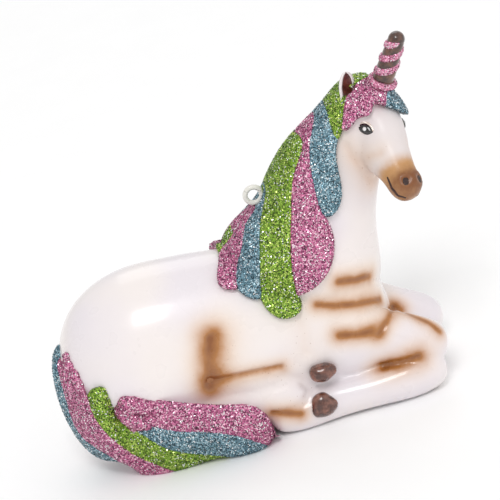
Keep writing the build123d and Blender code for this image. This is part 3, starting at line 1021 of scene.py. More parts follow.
class FlakeField:
    """Geometry nodes that strew glitter flakes over the open faces of a lock."""

    corners = 6
    size_range = (0.75, 1.2)
    size_seed = 3
    lift_seed = 7

    def __init__(self) -> None:
        """Build the node tree once, for all the locks."""
        self.tree = bpy.data.node_groups.new("glitter_flakes", "GeometryNodeTree")
        face = self.tree.interface
        face.new_socket("Geometry", in_out="INPUT", socket_type="NodeSocketGeometry")
        face.new_socket("Geometry", in_out="OUTPUT", socket_type="NodeSocketGeometry")
        self.keys = {}
        for name, kind, value in (
            ("Flake radius", "NodeSocketFloat", 0.17 * MM),
            ("Spacing", "NodeSocketFloat", 0.195 * MM),
            ("Density", "NodeSocketFloat", 12.0e6),
            ("Tilt", "NodeSocketFloat", 0.55),
            ("Lift", "NodeSocketFloat", 0.10 * MM),
            ("Seed", "NodeSocketInt", 1),
            ("Flake material", "NodeSocketMaterial", None),
        ):
            socket = face.new_socket(name, in_out="INPUT", socket_type=kind)
            if value is not None:
                socket.default_value = value
            self.keys[name] = socket.identifier
        self.wire()

    def node(self, kind: str, settings: dict | None = None, values: dict | None = None) -> bpy.types.Node:
        """Add a node.

        Args:
            kind: the node's type name.
            settings: the node's own options, set before its sockets.
            values: socket name to a number or output socket.

        Returns:
            The new node.
        """
        made = self.tree.nodes.new(kind)
        for key, value in (settings or {}).items():
            setattr(made, key, value)
        for key, value in (values or {}).items():
            if isinstance(value, bpy.types.NodeSocket):
                self.tree.links.new(value, made.inputs[key])
            else:
                made.inputs[key].default_value = value
        return made

    def wire(self) -> None:
        """Join the nodes: points, tones, flakes, real mesh, material."""
        given = self.node("NodeGroupInput").outputs
        open_faces = self.node(
            "GeometryNodeInputNamedAttribute", {"data_type": "FLOAT"}, {"Name": "open_air"}
        )
        strewn = self.node(
            "GeometryNodeDistributePointsOnFaces",
            {"distribute_method": "POISSON"},
            {
                "Mesh": given["Geometry"],
                "Distance Min": given["Spacing"],
                "Density Max": given["Density"],
                "Density Factor": open_faces.outputs["Attribute"],
                "Seed": given["Seed"],
            },
        )
        tone = self.node("FunctionNodeRandomValue", {"data_type": "FLOAT"}, {"Seed": given["Seed"]})
        toned = self.node(
            "GeometryNodeStoreNamedAttribute",
            {"data_type": "FLOAT", "domain": "POINT"},
            {"Geometry": strewn.outputs["Points"], "Name": "flake_tone", "Value": tone.outputs[1]},
        )
        rise = self.node("FunctionNodeRandomValue", {"data_type": "FLOAT"})
        self.tree.links.new(given["Lift"], rise.inputs[3])
        rise.inputs["Seed"].default_value = self.lift_seed
        offset = self.node("ShaderNodeVectorMath", {"operation": "SCALE"})
        self.tree.links.new(strewn.outputs["Normal"], offset.inputs[0])
        self.tree.links.new(rise.outputs[1], offset.inputs["Scale"])
        lifted = self.node(
            "GeometryNodeSetPosition",
            values={"Geometry": toned.outputs["Geometry"], "Offset": offset.outputs["Vector"]},
        )
        turned = self.leaning(given["Tilt"], strewn.outputs["Rotation"])
        size = self.node("FunctionNodeRandomValue", {"data_type": "FLOAT"})
        size.inputs[2].default_value, size.inputs[3].default_value = self.size_range
        size.inputs["Seed"].default_value = self.size_seed
        flake = self.node(
            "GeometryNodeMeshCircle",
            {"fill_type": "NGON"},
            {"Vertices": self.corners, "Radius": given["Flake radius"]},
        )
        placed = self.node(
            "GeometryNodeInstanceOnPoints",
            values={
                "Points": lifted.outputs["Geometry"],
                "Instance": flake.outputs["Mesh"],
                "Rotation": turned,
                "Scale": size.outputs[1],
            },
        )
        real = self.node(
            "GeometryNodeRealizeInstances", values={"Geometry": placed.outputs["Instances"]}
        )
        dressed = self.node(
            "GeometryNodeSetMaterial",
            values={"Geometry": real.outputs["Geometry"], "Material": given["Flake material"]},
        )
        both = self.node("GeometryNodeJoinGeometry")
        self.tree.links.new(dressed.outputs["Geometry"], both.inputs[0])
        self.tree.links.new(given["Geometry"], both.inputs[0])
        self.tree.links.new(both.outputs[0], self.node("NodeGroupOutput").inputs[0])

    def leaning(self, tilt: bpy.types.NodeSocket, flat: bpy.types.NodeSocket) -> bpy.types.NodeSocket:
        """Lean each flake at random and turn it any way round.

        Args:
            tilt: the furthest lean, in radians.
            flat: each flake's rotation when it lies flat.

        Returns:
            Each flake's rotation.
        """
        low = self.node("ShaderNodeMath", {"operation": "MULTIPLY"})
        self.tree.links.new(tilt, low.inputs[0])
        low.inputs[1].default_value = -1.0
        least = self.node("ShaderNodeCombineXYZ", values={"Z": -math.pi})
        most = self.node("ShaderNodeCombineXYZ", values={"Z": math.pi})
        for key in ("X", "Y"):
            self.tree.links.new(low.outputs[0], least.inputs[key])
            self.tree.links.new(tilt, most.inputs[key])
        lean = self.node("FunctionNodeRandomValue", {"data_type": "FLOAT_VECTOR"})
        self.tree.links.new(least.outputs[0], lean.inputs[0])
        self.tree.links.new(most.outputs[0], lean.inputs[1])
        turn = self.node("FunctionNodeEulerToRotation", values={"Euler": lean.outputs[0]})
        turned = self.node(
            "FunctionNodeRotateRotation",
            {"rotation_space": "LOCAL"},
            {"Rotation": flat, "Rotate By": turn.outputs["Rotation"]},
        )
        return turned.outputs["Rotation"]

    def cover(
        self, mesh: bpy.types.Mesh, name: str, material: bpy.types.Material, **sizes: float
    ) -> bpy.types.Object:
        """Strew flakes over a lock.

        Args:
            mesh: the lock's bed, painted with where it lies open.
            name: the finished piece's name.
            material: the flakes' material.
            **sizes: other values of the tree's inputs, with underscores for spaces.

        Returns:
            The finished piece.
        """
        holder = new_object(name + "_bed", mesh)
        modifier = holder.modifiers.new("glitter", "NODES")
        modifier.node_group = self.tree
        modifier[self.keys["Flake material"]] = material
        for key, value in sizes.items():
            modifier[self.keys[key.replace("_", " ")]] = value
        return baked(holder, name)


@dataclass
class GlitterKit:
    """What every glittered piece is dressed from."""

    beds: dict[Tint, bpy.types.Material]
    flakes: dict[Tint, bpy.types.Material]
    field: FlakeField

    @classmethod
    def mixed(cls) -> "GlitterKit":
        """Mix each tint's bed and flakes, and build the strewing nodes."""
        beds = {tint: Glitter(tint).bed() for tint in Tint}
        flakes = {tint: Glitter(tint).flakes() for tint in Tint}
        return cls(beds, flakes, FlakeField())

    def cover(self, mesh: bpy.types.Mesh, name: str, tint: Tint, **sizes: float) -> bpy.types.Object:
        """Give a mesh its bed of glitter and strew flakes over it.

        Args:
            mesh: the bed's mesh, painted with where it lies open.
            name: the finished piece's name.
            tint: the glitter's colour.
            **sizes: other values of the strewing nodes, with underscores for spaces.

        Returns:
            The finished piece.
        """
        mesh.materials.clear()
        mesh.materials.append(self.beds[tint])
        return self.field.cover(mesh, name, self.flakes[tint], **sizes)


@dataclass(frozen=True)
class Mound:
    """A round heap of glitter that widens a lock."""

    centre: Vector
    radius: float


@dataclass
class GlitterLock:
    """One lock of hair: a rounded bed with flakes all over its open side."""

    node: str
    tint: Tint
    seed: int
    body: str = "ornament"
    voxel: float = 0.34 * MM
    swell: float = 0.03 * MM
    rounds: int = 3
    flake_radius: float = 0.17 * MM
    first_swell: float = 0.20 * MM
    floor_gap: float = 0.05 * MM
    bare_below: float = 0.35 * MM
    stand_out: float = 0.12 * MM
    mounds: tuple = ()
    mound_cuts: int = 3
    crest: tuple = ()

    def build(self, kit: GlitterKit, skin: Surface | None = None) -> bpy.types.Object:
        """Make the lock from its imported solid.

        Args:
            kit: the glitter to dress it from.
            skin: the glass skin below the lock, or None.

        Returns:
            The finished piece.
        """
        form = merged_copy(self.node)
        swell_form(form, self.first_swell)
        for mound in self.mounds:
            place = Matrix.Translation(mound.centre)
            bmesh.ops.create_icosphere(form, subdivisions=self.mound_cuts, radius=mound.radius, matrix=place)
        mesh = remeshed(form, self.voxel, self.node + "_bed")
        relax(mesh, self.rounds)
        grow(mesh, self.swell)
        points = points_of(mesh)
        if self.crest:
            self.trim(points)
        points[:, 2] = np.maximum(points[:, 2], self.floor_gap)
        set_points(mesh, points)
        set_values(mesh, "open_air", self.open_air(mesh, skin))
        piece = kit.cover(
            mesh, self.node + "_glitter", self.tint, Seed=self.seed, Flake_radius=self.flake_radius
        )
        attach(piece, self.body)
        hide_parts(self.node)
        return piece

    def trim(self, points: np.ndarray) -> None:
        """Lower what is seen above the lock's crest.

        Args:
            points: the lock's points, changed in place.
        """
        eye = np.array(watching_point(Side.NEAR))
        share = eye[1] / (eye[1] - points[:, 1])
        seen = eye + (points - eye) * share[:, None]
        line = np.array(self.crest) * MM
        over = seen[:, 2] - np.interp(seen[:, 0], line[:, 0], line[:, 1])
        points[:, 2] -= np.maximum(over, 0.0)

    def open_air(self, mesh: bpy.types.Mesh, skin: Surface | None) -> np.ndarray:
        """Find where the lock takes flakes.

        Args:
            mesh: the lock's bed.
            skin: the glass skin below, or None for a lock that stands free.

        Returns:
            One at the vertices that stand out of the skin, nought at the buried or lowest ones.
        """
        if skin is None:
            return np.ones(len(mesh.vertices))
        shown = []
        for vert in mesh.vertices:
            hit, normal = skin.nearest(vert.co)
            stands_out = (vert.co - hit).dot(normal) > self.stand_out and vert.co.z > self.bare_below
            shown.append(float(stands_out))
        return np.array(shown)


def lathe_faces(rows: int, across: int) -> list[tuple]:
    """Quads between neighbouring rings.

    Args:
        rows: how many rings there are.
        across: how many points each ring has.

    Returns:
        The faces, row by row.
    """
    faces = []
    for row in range(rows - 1):
        for step in range(across):
            after = (step + 1) % across
            faces.append(
                (row * across + step, row * across + after,
                 (row + 1) * across + after, (row + 1) * across + step)
            )
    return faces


def tube_faces(rows: int, across: int) -> list[tuple]:
    """The quads between neighbouring rings, and a face over each end."""
    ends = [tuple(range(across)), tuple(range((rows - 1) * across, rows * across))]
    return lathe_faces(rows, across) + ends


def round_point(angle: float, radius: float, height: float) -> Vector:
    """A point at an angle and radius round Z, at a height."""
    return Vector((math.cos(angle) * radius, math.sin(angle) * radius, height))


def smooth_mesh(name: str, points: list[Vector], faces: list[tuple]) -> bpy.types.Mesh:
    """Make a smooth-shaded mesh with its faces turned outwards.

    Args:
        name: the mesh's name.
        points: its corners; those that meet are joined.
        faces: the numbers of each face's corners.

    Returns:
        The mesh.
    """
    mesh = bpy.data.meshes.new(name)
    mesh.from_pydata([tuple(p) for p in points], [], faces)
    form = bmesh.new()
    form.from_mesh(mesh)
    bmesh.ops.remove_doubles(form, verts=form.verts, dist=JOIN_GAP)
    bmesh.ops.recalc_face_normals(form, faces=form.faces)
    for face in form.faces:
        face.smooth = True
    form.to_mesh(mesh)
    form.free()
    return mesh


def frame_of(origin: Vector, ahead: Vector, hint: Vector) -> Matrix:
    """Make a frame whose Z looks ahead and whose X leans to a hint.

    Args:
        origin: where the frame stands.
        ahead: its Z.
        hint: a direction that its X comes as near to as it can.

    Returns:
        The frame.
    """
    z = ahead.normalized()
    x = (hint - z * hint.dot(z)).normalized()
    y = z.cross(x)
    turn = Matrix((x, y, z)).transposed().to_4x4()
    return Matrix.Translation(origin) @ turn


@dataclass
class Horn:
    """The brown horn with glitter ribbon wound up it.

    A heap ring is its height, its reach from the middle and its mounds' radius.
    """

    foot: tuple = (44.8 * MM, -6.4 * MM, 80.44 * MM)
    way: tuple = (0.458, -0.218, 0.862)
    hint: tuple = (0.896, 0.0, -0.444)
    base_radius: float = 3.0 * MM
    tip_radius: float = 2.05 * MM
    length: float = 14.2 * MM
    sunk: float = 4.2 * MM
    bulge_share: float = 0.022
    rings: int = 72
    around: int = 48
    pitch: float = 3.75 * MM
    turns: float = 2.8
    ribbon_start: float = 1.5 * MM
    slant: float = 0.6 * MM
    ribbon_half: float = 0.98 * MM
    ribbon_rise: float = 0.42 * MM
    ribbon_sunk: float = 0.1 * MM
    ribbon_rows: int = 160
    ribbon_profile: int = 12
    taper_share: float = 1.0 / 14.0
    least_end: float = 0.02
    foot_radius: float = 2.8 * MM
    foot_bead: float = 0.84 * MM
    foot_wave: float = 0.05 * MM
    foot_waves: int = 3
    foot_rise: float = 1.05
    foot_rows: int = 72
    foot_profile: int = 14
    heap_rings: tuple = ((-2.0 * MM, 2.1 * MM, 1.3 * MM), (-3.3 * MM, 2.5 * MM, 1.7 * MM))
    heap_step: float = 20.0

    def frame(self) -> Matrix:
        """The horn's frame, standing on its foot."""
        return frame_of(Vector(self.foot), Vector(self.way), Vector(self.hint))

    def placed(self, name: str, points: list[Vector], faces: list[tuple]) -> bpy.types.Mesh:
        """A smooth mesh of points given in the horn's frame."""
        place = self.frame()
        return smooth_mesh(name, [place @ point for point in points], faces)

    def heap(self, start: float, end: float) -> tuple[Mound, ...]:
        """Heap glitter round the horn's foot.

        Args:
            start: the first angle, in degrees.
            end: the last angle.

        Returns:
            The mounds.
        """
        place = self.frame()
        found = []
        for height, reach, radius in self.heap_rings:
            steps = max(2, round((end - start) / self.heap_step))
            for step in range(steps + 1):
                angle = math.radians(start + (end - start) * step / steps)
                found.append(Mound(place @ round_point(angle, reach, height), radius))
        return tuple(found)

    def radius(self, height: float) -> float:
        """The bare horn's radius at a height."""
        share = (height + self.sunk) / (self.length - self.tip_radius + self.sunk)
        return self.base_radius + (self.tip_radius - self.base_radius) * share

    def build(self, kit: GlitterKit) -> list[bpy.types.Object]:
        """Make the horn, its ribbon and the ring round its foot.

        Args:
            kit: the glitter to dress them from.

        Returns:
            The finished pieces.
        """
        cone = new_object("horn_cone", self.cone())
        cone.data.materials.append(HORN_PAINT.material())
        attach(cone, "ornament")
        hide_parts("horn")
        pieces = [cone]
        for name, node, mesh in (
            ("horn_ribbon", "horn_stripe", self.ribbon()),
            ("horn_foot_ring", "horn_collar", self.foot_ring()),
        ):
            set_values(mesh, "open_air", np.ones(len(mesh.vertices)))
            piece = kit.cover(mesh, name, Tint.ROSE, **FINE_FLAKES)
            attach(piece, "ornament")
            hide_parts(node)
            pieces.append(piece)
        return pieces

    def cone(self) -> bpy.types.Mesh:
        """The tapered horn, swelling a little between the ribbon's turns."""
        points = []
        cap = self.length - self.tip_radius
        for ring in range(self.rings):
            height = -self.sunk + ring / (self.rings - 1) * (self.length + self.sunk)
            radius = self.radius(height)
            if height > cap:
                over = (height - cap) / self.tip_radius
                radius = self.radius(cap) * math.sqrt(max(1.0 - over * over, 0.0))
            for step in range(self.around):
                angle = 2 * math.pi * step / self.around
                level = height - self.ribbon_start - self.slant * math.cos(angle)
                turn = angle - 2 * math.pi * level / self.pitch
                bulge = 1.0 - self.bulge_share * (1.0 + math.cos(turn)) * (height < cap)
                points.append(round_point(angle, radius * bulge, height))
        faces = lathe_faces(self.rings, self.around) + [tuple(range(self.around))]
        return self.placed("horn_cone", points, faces)

    def ribbon(self) -> bpy.types.Mesh:
        """The low rounded ribbon, tapering at both ends."""
        points = []
        for row in range(self.ribbon_rows):
            share = row / (self.ribbon_rows - 1)
            angle = 2 * math.pi * self.turns * share
            height = self.ribbon_start + self.pitch * self.turns * share + self.slant * math.cos(angle)
            ease = min(1.0, min(share, 1 - share) / self.taper_share)
            full = math.sqrt(max(1.0 - (1.0 - ease) ** 2, self.least_end**2))
            for step in range(self.ribbon_profile):
                bend = 2 * math.pi * step / self.ribbon_profile
                level = height + math.cos(bend) * self.ribbon_half * full
                out = math.sin(bend) * self.ribbon_rise * full - self.ribbon_sunk
                points.append(round_point(angle, self.radius(level) + out, level))
        return self.placed("horn_ribbon", points, tube_faces(self.ribbon_rows, self.ribbon_profile))

    def foot_ring(self) -> bpy.types.Mesh:
        """The uneven ring of glitter round the horn's foot."""
        points = []
        for row in range(self.foot_rows):
            angle = 2 * math.pi * row / self.foot_rows
            bead = self.foot_bead + self.foot_wave * math.sin(self.foot_waves * angle + 1.0)
            for step in range(self.foot_profile):
                bend = 2 * math.pi * step / self.foot_profile
                reach = self.foot_radius + math.cos(bend) * bead
                points.append(round_point(angle, reach, math.sin(bend) * bead * self.foot_rise))
        faces = lathe_faces(self.foot_rows + 1, self.foot_profile)
        faces = [tuple(index % len(points) for index in face) for face in faces]
        return self.placed("horn_foot_ring", points, faces)


@dataclass
class Ear:
    """A leaf-shaped ear: a thin pearl shell with a dark lining."""

    node: str
    foot: tuple
    way: tuple
    front: tuple
    length: float
    half_width: float = 2.6 * MM
    depth: float = 1.5 * MM
    wall: float = 0.75 * MM
    bow_share: float = 0.55
    lining_gap: float = 0.05 * MM
    least_half_width: float = 0.02 * MM
    least_depth: float = 0.01 * MM
    rows: int = 26
    bends: int = 12

    def build(self, pearl: bpy.types.Material, lining: bpy.types.Material) -> bpy.types.Object:
        """Make the ear's shell with its lining.

        Args:
            pearl: the body's lacquer, for the outside.
            lining: the dark paint inside.

        Returns:
            The finished piece.
        """
        place = frame_of(Vector(self.foot), Vector(self.way), Vector(self.front))
        points = []
        for row in range(self.rows):
            share = row / (self.rows - 1)
            points += [place @ Vector((*spot, share * self.length)) for spot in self.outline(share)]
        across = 2 * (self.bends + 1)
        mesh = bpy.data.meshes.new(self.node + "_shell")
        mesh.from_pydata([tuple(p) for p in points], [], tube_faces(self.rows, across))
        mesh.materials.append(pearl)
        mesh.materials.append(lining)
        for index, face in enumerate(mesh.polygons):
            face.use_smooth = True
            lined = self.bends < index % across < across - 1
            face.material_index = int(lined and index < (self.rows - 1) * across)
        for name in ("airbrush", "overspray", "muzzle", "satin"):
            set_values(mesh, name, np.zeros(len(mesh.vertices)))
        form = bmesh.new()
        form.from_mesh(mesh)
        bmesh.ops.recalc_face_normals(form, faces=form.faces)
        form.to_mesh(mesh)
        form.free()
        piece = new_object(self.node + "_shell", mesh)
        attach(piece, "ornament")
        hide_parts(self.node)
        return piece

    def outline(self, share: float) -> list[tuple[float, float]]:
        """The shell's outline at one level.

        Args:
            share: the level as a share of the ear's height.

        Returns:
            How far to the front and to the side each point lies, the outside before the lining.
        """
        wide = self.half_width * self.fullness(share)
        deep = self.depth * self.fullness(share) ** 0.8
        back = -self.bow_share * self.depth * share**2
        front = back + self.lining_gap
        inner_wide = max(wide - self.wall, self.least_half_width)
        inner_deep = max(deep - self.wall, self.least_depth)
        turns = [math.pi * step / self.bends for step in range(self.bends + 1)]
        outside = [(back - math.sin(turn) * deep, -math.cos(turn) * wide) for turn in turns]
        turns.reverse()
        return outside + [(front - math.sin(t) * inner_deep, -math.cos(t) * inner_wide) for t in turns]

    @staticmethod
    def fullness(share: float) -> float:
        """The leaf's width at a share of its height."""
        return max(min(1.0, 0.66 + 0.55 * share) * math.sqrt(max(1.0 - share**4.0, 0.0)), 0.04)


@dataclass(frozen=True)
class EnamelCoat:
    """One domed coat of enamel, measured against the eye's own almond."""

    wider: float
    lift: float
    lower: float
    dome: float


@dataclass
class Eye:
    """A painted eye: cream rim, black almond and white dot."""

    side: Side
    head: Head = Head()
    spot_shares: tuple = (0.318, 0.115, 0.215)
    slant_shares: tuple = (0.78, 0.93)
    half_length: float = 2.3 * MM
    half_height: float = 1.35 * MM
    corner_power: float = 2.2
    lid_power: float = 0.85
    tilt_share: float = 0.16
    rim: EnamelCoat = EnamelCoat(0.18 * MM, 0.03 * MM, 0.30 * MM, 0.18 * MM)
    bead: EnamelCoat = EnamelCoat(0.0, 0.14 * MM, 0.0, 0.55 * MM)
    edge_sunk: float = 0.05 * MM
    rings: int = 7
    around: int = 40
    dot_radius: float = 0.50 * MM
    dot_lift: float = 0.08 * MM
    dot_dome: float = 0.20 * MM
    dot_rings: int = 6
    dot_around: int = 24

    def frame(self, skin: Surface) -> Matrix:
        """Set the eye's frame on the skin.

        Args:
            skin: the glass skin below.

        Returns:
            The frame: X along the eye, Z outwards.
        """
        reach, rise, across = self.spot_shares
        hit, normal = skin.nearest(self.head.at(reach, rise, across * self.side.value))
        up, ahead = self.slant_shares
        return frame_of(hit, normal, self.head.face() * up + Vector(self.head.nose_way) * ahead)

    def almond(self, name: str, place: Matrix, skin: Surface, coat: EnamelCoat) -> bpy.types.Mesh:
        """Lay a domed almond on the skin.

        Args:
            name: the mesh's name.
            place: the eye's frame.
            skin: the glass skin below.
            coat: the almond's sizes.

        Returns:
            The mesh.
        """
        up = -self.side.value
        points = []
        for ring in range(self.rings):
            share = ring / (self.rings - 1)
            height = coat.lift + coat.dome * (1.0 - share**2) if share < 1.0 else -self.edge_sunk
            for step in range(self.around):
                angle = 2 * math.pi * step / self.around
                along = math.cos(angle) * (self.half_length + coat.wider)
                pinch = (1.0 - abs(math.cos(angle)) ** self.corner_power) ** self.lid_power
                rise = math.copysign(pinch, math.sin(angle)) * (self.half_height + coat.wider)
                rise += self.tilt_share * self.half_height * (along / self.half_length)
                spot = place @ Vector((along * share, up * (rise * share - coat.lower), 0.0))
                hit, normal = skin.nearest(spot)
                points.append(hit + normal * height)
        return smooth_mesh(name, points, lathe_faces(self.rings, self.around))

    def dot(self, name: str, place: Matrix) -> bpy.types.Mesh:
        """The small white dot, a flat drop of paint on the bead.

        Args:
            name: the mesh's name.
            place: the eye's frame.

        Returns:
            The mesh.
        """
        points = []
        for ring in range(self.dot_rings):
            bend = math.pi * 0.5 * ring / (self.dot_rings - 1)
            height = self.bead.dome + self.dot_lift + math.cos(bend) * self.dot_dome
            for step in range(self.dot_around):
                angle = 2 * math.pi * step / self.dot_around
                points.append(place @ round_point(angle, math.sin(bend) * self.dot_radius, height))
        last = (self.dot_rings - 1) * self.dot_around
        faces = lathe_faces(self.dot_rings, self.dot_around) + [tuple(range(last, len(points)))]
        return smooth_mesh(name, points, faces)

    def painted(self, mesh: bpy.types.Mesh, paint: Lacquer) -> bpy.types.Object:
        """Show one coat under its own enamel, riding on the ornament.

        Args:
            mesh: the coat's mesh.
            paint: its enamel.

        Returns:
            The finished piece.
        """
        mesh.materials.append(paint.material("_" + self.side.name.lower()))
        piece = new_object(mesh.name, mesh)
        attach(piece, "ornament")
        return piece

    def build(self, skin: Surface) -> list[bpy.types.Object]:
        """Make the eye's three coats of enamel.

        Args:
            skin: the glass skin below.

        Returns:
            The finished pieces.
        """
        name = self.side.name.lower()
        place = self.frame(skin)
        rim = self.painted(self.almond(name + "_eye_rim", place, skin, self.rim), EYE_CREAM)
        bead = self.painted(self.almond(name + "_eye_bead", place, skin, self.bead), EYE_BLACK)
        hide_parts(name + "_eye")
        dot = self.painted(self.dot(name + "_eye_dot", place), EYE_WHITE)
        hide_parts(name + "_eye_glint")
        return [rim, bead, dot]


@dataclass
class EnamelLine:
    """A thin line of dark paint laid along the skin.

    Its spots are X and Z on the middle plane, in millimetres.
    """

    name: str
    spots: tuple
    half_width: float
    rise: float = 0.07 * MM
    parts: int = 8
    profile: int = 8

    def build(self, skin: Surface, head: Head, paint: bpy.types.Material) -> list[bpy.types.Object]:
        """Lay the line on the near side and mirror it across the head.

        Args:
            skin: the glass skin below.
            head: the head's frame.
            paint: the line's paint.

        Returns:
            The finished pieces.
        """
        near = skin.line(self.spots, Side.NEAR)
        far = [head.mirrored(point) for point in near]
        pieces = []
        for prefix, line in (("near_", near), ("far_", far)):
            mesh = self.strip(prefix + self.name, self.dense(line), skin)
            mesh.materials.append(paint)
            piece = new_object(prefix + self.name, mesh)
            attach(piece, "ornament")
            pieces.append(piece)
        return pieces

    def dense(self, line: list[Vector]) -> list[Vector]:
        """Round the line's corners off.

        Args:
            line: the points that the line passes through.

        Returns:
            The points of an even curve through them.
        """
        found = []
        for index in range(len(line) - 1):
            before = line[max(index - 1, 0)]
            start, end = line[index], line[index + 1]
            after = line[min(index + 2, len(line) - 1)]
            for step in range(self.parts):
                t = step / self.parts
                found.append(
                    0.5 * (2 * start + (end - before) * t + (2 * before - 5 * start + 4 * end - after) * t * t
                           + (3 * start - before - 3 * end + after) * t**3)
                )
        found.append(line[-1])
        return found

    def strip(self, name: str, line: list[Vector], skin: Surface) -> bpy.types.Mesh:
        """Make a low rounded strip along the line.

        Args:
            name: the mesh's name.
            line: the strip's middle.
            skin: the glass skin below.

        Returns:
            The mesh.
        """
        points = []
        for index, spot in enumerate(line):
            hit, normal = skin.nearest(spot)
            ahead = (line[min(index + 1, len(line) - 1)] - line[max(index - 1, 0)]).normalized()
            side = normal.cross(ahead).normalized()
            reach = self.half_width * self.fullness(index / (len(line) - 1))
            for step in range(self.profile):
                bend = 2 * math.pi * step / self.profile
                below, out = skin.nearest(hit + side * math.cos(bend) * reach)
                points.append(below + out * math.sin(bend) * self.rise)
        return smooth_mesh(name, points, tube_faces(len(line), self.profile))

    @staticmethod
    def fullness(share: float) -> float:
        """The strip's width at a share of its length, thin at both ends."""
        return max(math.sin(math.pi * (0.06 + 0.88 * share)) ** 0.5, 0.1)


@dataclass
class Hoof:
    """A blob of brown enamel for one hoof.

    A dab wave is its share of the blob's radius, its count round the blob and its phase.
    """

    node: str
    corners: int = 0
    voxel: float = 0.22 * MM
    rounds: int = 4
    dab_waves: tuple = ((0.05, 3, 0.8), (0.03, 5, 2.0))
    corner_share: float = 0.11
    swell: float = 0.12 * MM
    floor_gap: float = 0.05 * MM

    def build(self, paint: bpy.types.Material) -> bpy.types.Object:
        """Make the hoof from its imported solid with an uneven, hand-dabbed edge.

        Args:
            paint: the brown enamel.

        Returns:
            The finished piece.
        """
        mesh = remeshed(merged_copy(self.node), self.voxel, self.node + "_enamel")
        relax(mesh, self.rounds)
        points = points_of(mesh)
        arm = points - points.mean(0)
        angle = np.arctan2(arm[:, 2], arm[:, 0])
        wave = sum(share * np.sin(count * angle + phase) for share, count, phase in self.dab_waves)
        if self.corners:
            wave = wave + self.corner_share * np.cos(self.corners * (angle - math.pi / 2))
        points[:, (0, 2)] += arm[:, (0, 2)] * wave[:, None]
        points += normals_of(mesh) * self.swell
        points[:, 2] = np.maximum(points[:, 2], self.floor_gap)
        set_points(mesh, points)
        mesh.materials.clear()
        mesh.materials.append(paint)
        piece = new_object(self.node + "_enamel", mesh)
        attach(piece, "ornament")
        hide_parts(self.node)
        return piece


@dataclass
class Studio:
    """The pale floor, the soft lights and the camera.

    A light is its name, its place, its size and its power.
    """

    lens: float = 201.6
    sensor: float = 36.0
    clip: tuple = (0.05, 20.0)
    target: tuple = (2.6 * MM, 0.0, 44.2 * MM)
    distance: float = 700.0 * MM
    elevation: float = 24.0
    roll: float = 16.0
    floor_half: float = 4.0
    paper: tuple = ((0.990, 0.990, 0.990), (1.0, 1.0, 1.0))
    light_target: tuple = (0.0, 0.0, 40.0 * MM)
    lights: tuple = (
        ("key_light", (-0.08, -0.80, 1.10), 0.42, 5.2),
        ("fill_light", (0.9, -0.6, 0.6), 1.4, 1.6),
        ("back_light", (0.1, 0.9, 0.9), 0.8, 2.0),
    )
    sky_strength: float = 0.72

    def camera(self) -> None:
        """Stand the camera where the photograph was taken from."""
        high, roll = math.radians(self.elevation), math.radians(self.roll)
        ahead = Vector((0.0, math.cos(high), -math.sin(high)))
        level = Vector((1.0, 0.0, 0.0))
        up = Vector((0.0, math.sin(high), math.cos(high)))
        right = level * math.cos(roll) - up * math.sin(roll)
        above = level * math.sin(roll) + up * math.cos(roll)
        data = bpy.data.cameras.new("camera")
        data.lens = self.lens
        data.sensor_width = self.sensor
        data.clip_start, data.clip_end = self.clip
        made = bpy.data.objects.new("camera", data)
        turn = Matrix((right, above, -ahead)).transposed().to_4x4()
        made.matrix_world = Matrix.Translation(Vector(self.target) - ahead * self.distance) @ turn
        bpy.context.scene.collection.objects.link(made)
        bpy.context.scene.camera = made

    def floor(self) -> None:
        """Lay a plain pale floor, with the faintest unevenness."""
        form = bmesh.new()
        bmesh.ops.create_grid(form, x_segments=4, y_segments=4, size=self.floor_half)
        mesh = bpy.data.meshes.new("floor")
        form.to_mesh(mesh)
        form.free()
        shader = Shader("floor_paper")
        dull, bright = self.paper
        grain = shader.noise(60.0, 2.0)
        shader.set(Base_Color=shader.mix(grain, linear(dull), linear(bright)), Roughness=0.9)
        mesh.materials.append(shader.material)
        new_object("floor", mesh)

    def light(self, name: str, place: tuple, size: float, power: float) -> None:
        """Hang one soft square light that looks at the ornament.

        Args:
            name: the light's name.
            place: where it hangs.
            size: the side of the square.
            power: how strong it is, in watts.
        """
        data = bpy.data.lights.new(name, "AREA")
        data.size = size
        data.energy = power
        made = bpy.data.objects.new(name, data)
        made.location = place
        made.rotation_euler = (Vector(self.light_target) - Vector(place)).to_track_quat("-Z", "Y").to_euler()
        bpy.context.scene.collection.objects.link(made)

    def build(self) -> None:
        """Make the whole studio."""
        self.camera()
        self.floor()
        for name, place, size, power in self.lights:
            self.light(name, place, size, power)
        world = bpy.data.worlds.new("studio")
        world.use_nodes = True
        sky = world.node_tree.nodes["Background"]
        sky.inputs["Color"].default_value = (1.0, 1.0, 1.0, 1.0)
        sky.inputs["Strength"].default_value = self.sky_strength
        bpy.context.scene.world = world
        bpy.context.scene.view_settings.view_transform = "Standard"


# The upper edge of the tail's inner pink lock as the near eye sees it, from the rump to the tip:
# X and Z on the middle plane, in millimetres.
TAIL_CREST = (
    (-41.4, 17.3), (-38.8, 15.5), (-33.5, 12.6), (-27.7, 9.7), (-21.7, 7.1), (-15.7, 4.8),
    (-9.5, 3.0), (-7.0, 1.4), (-5.1, -1.3), (-4.3, -4.6), (-4.2, -8.2),
)
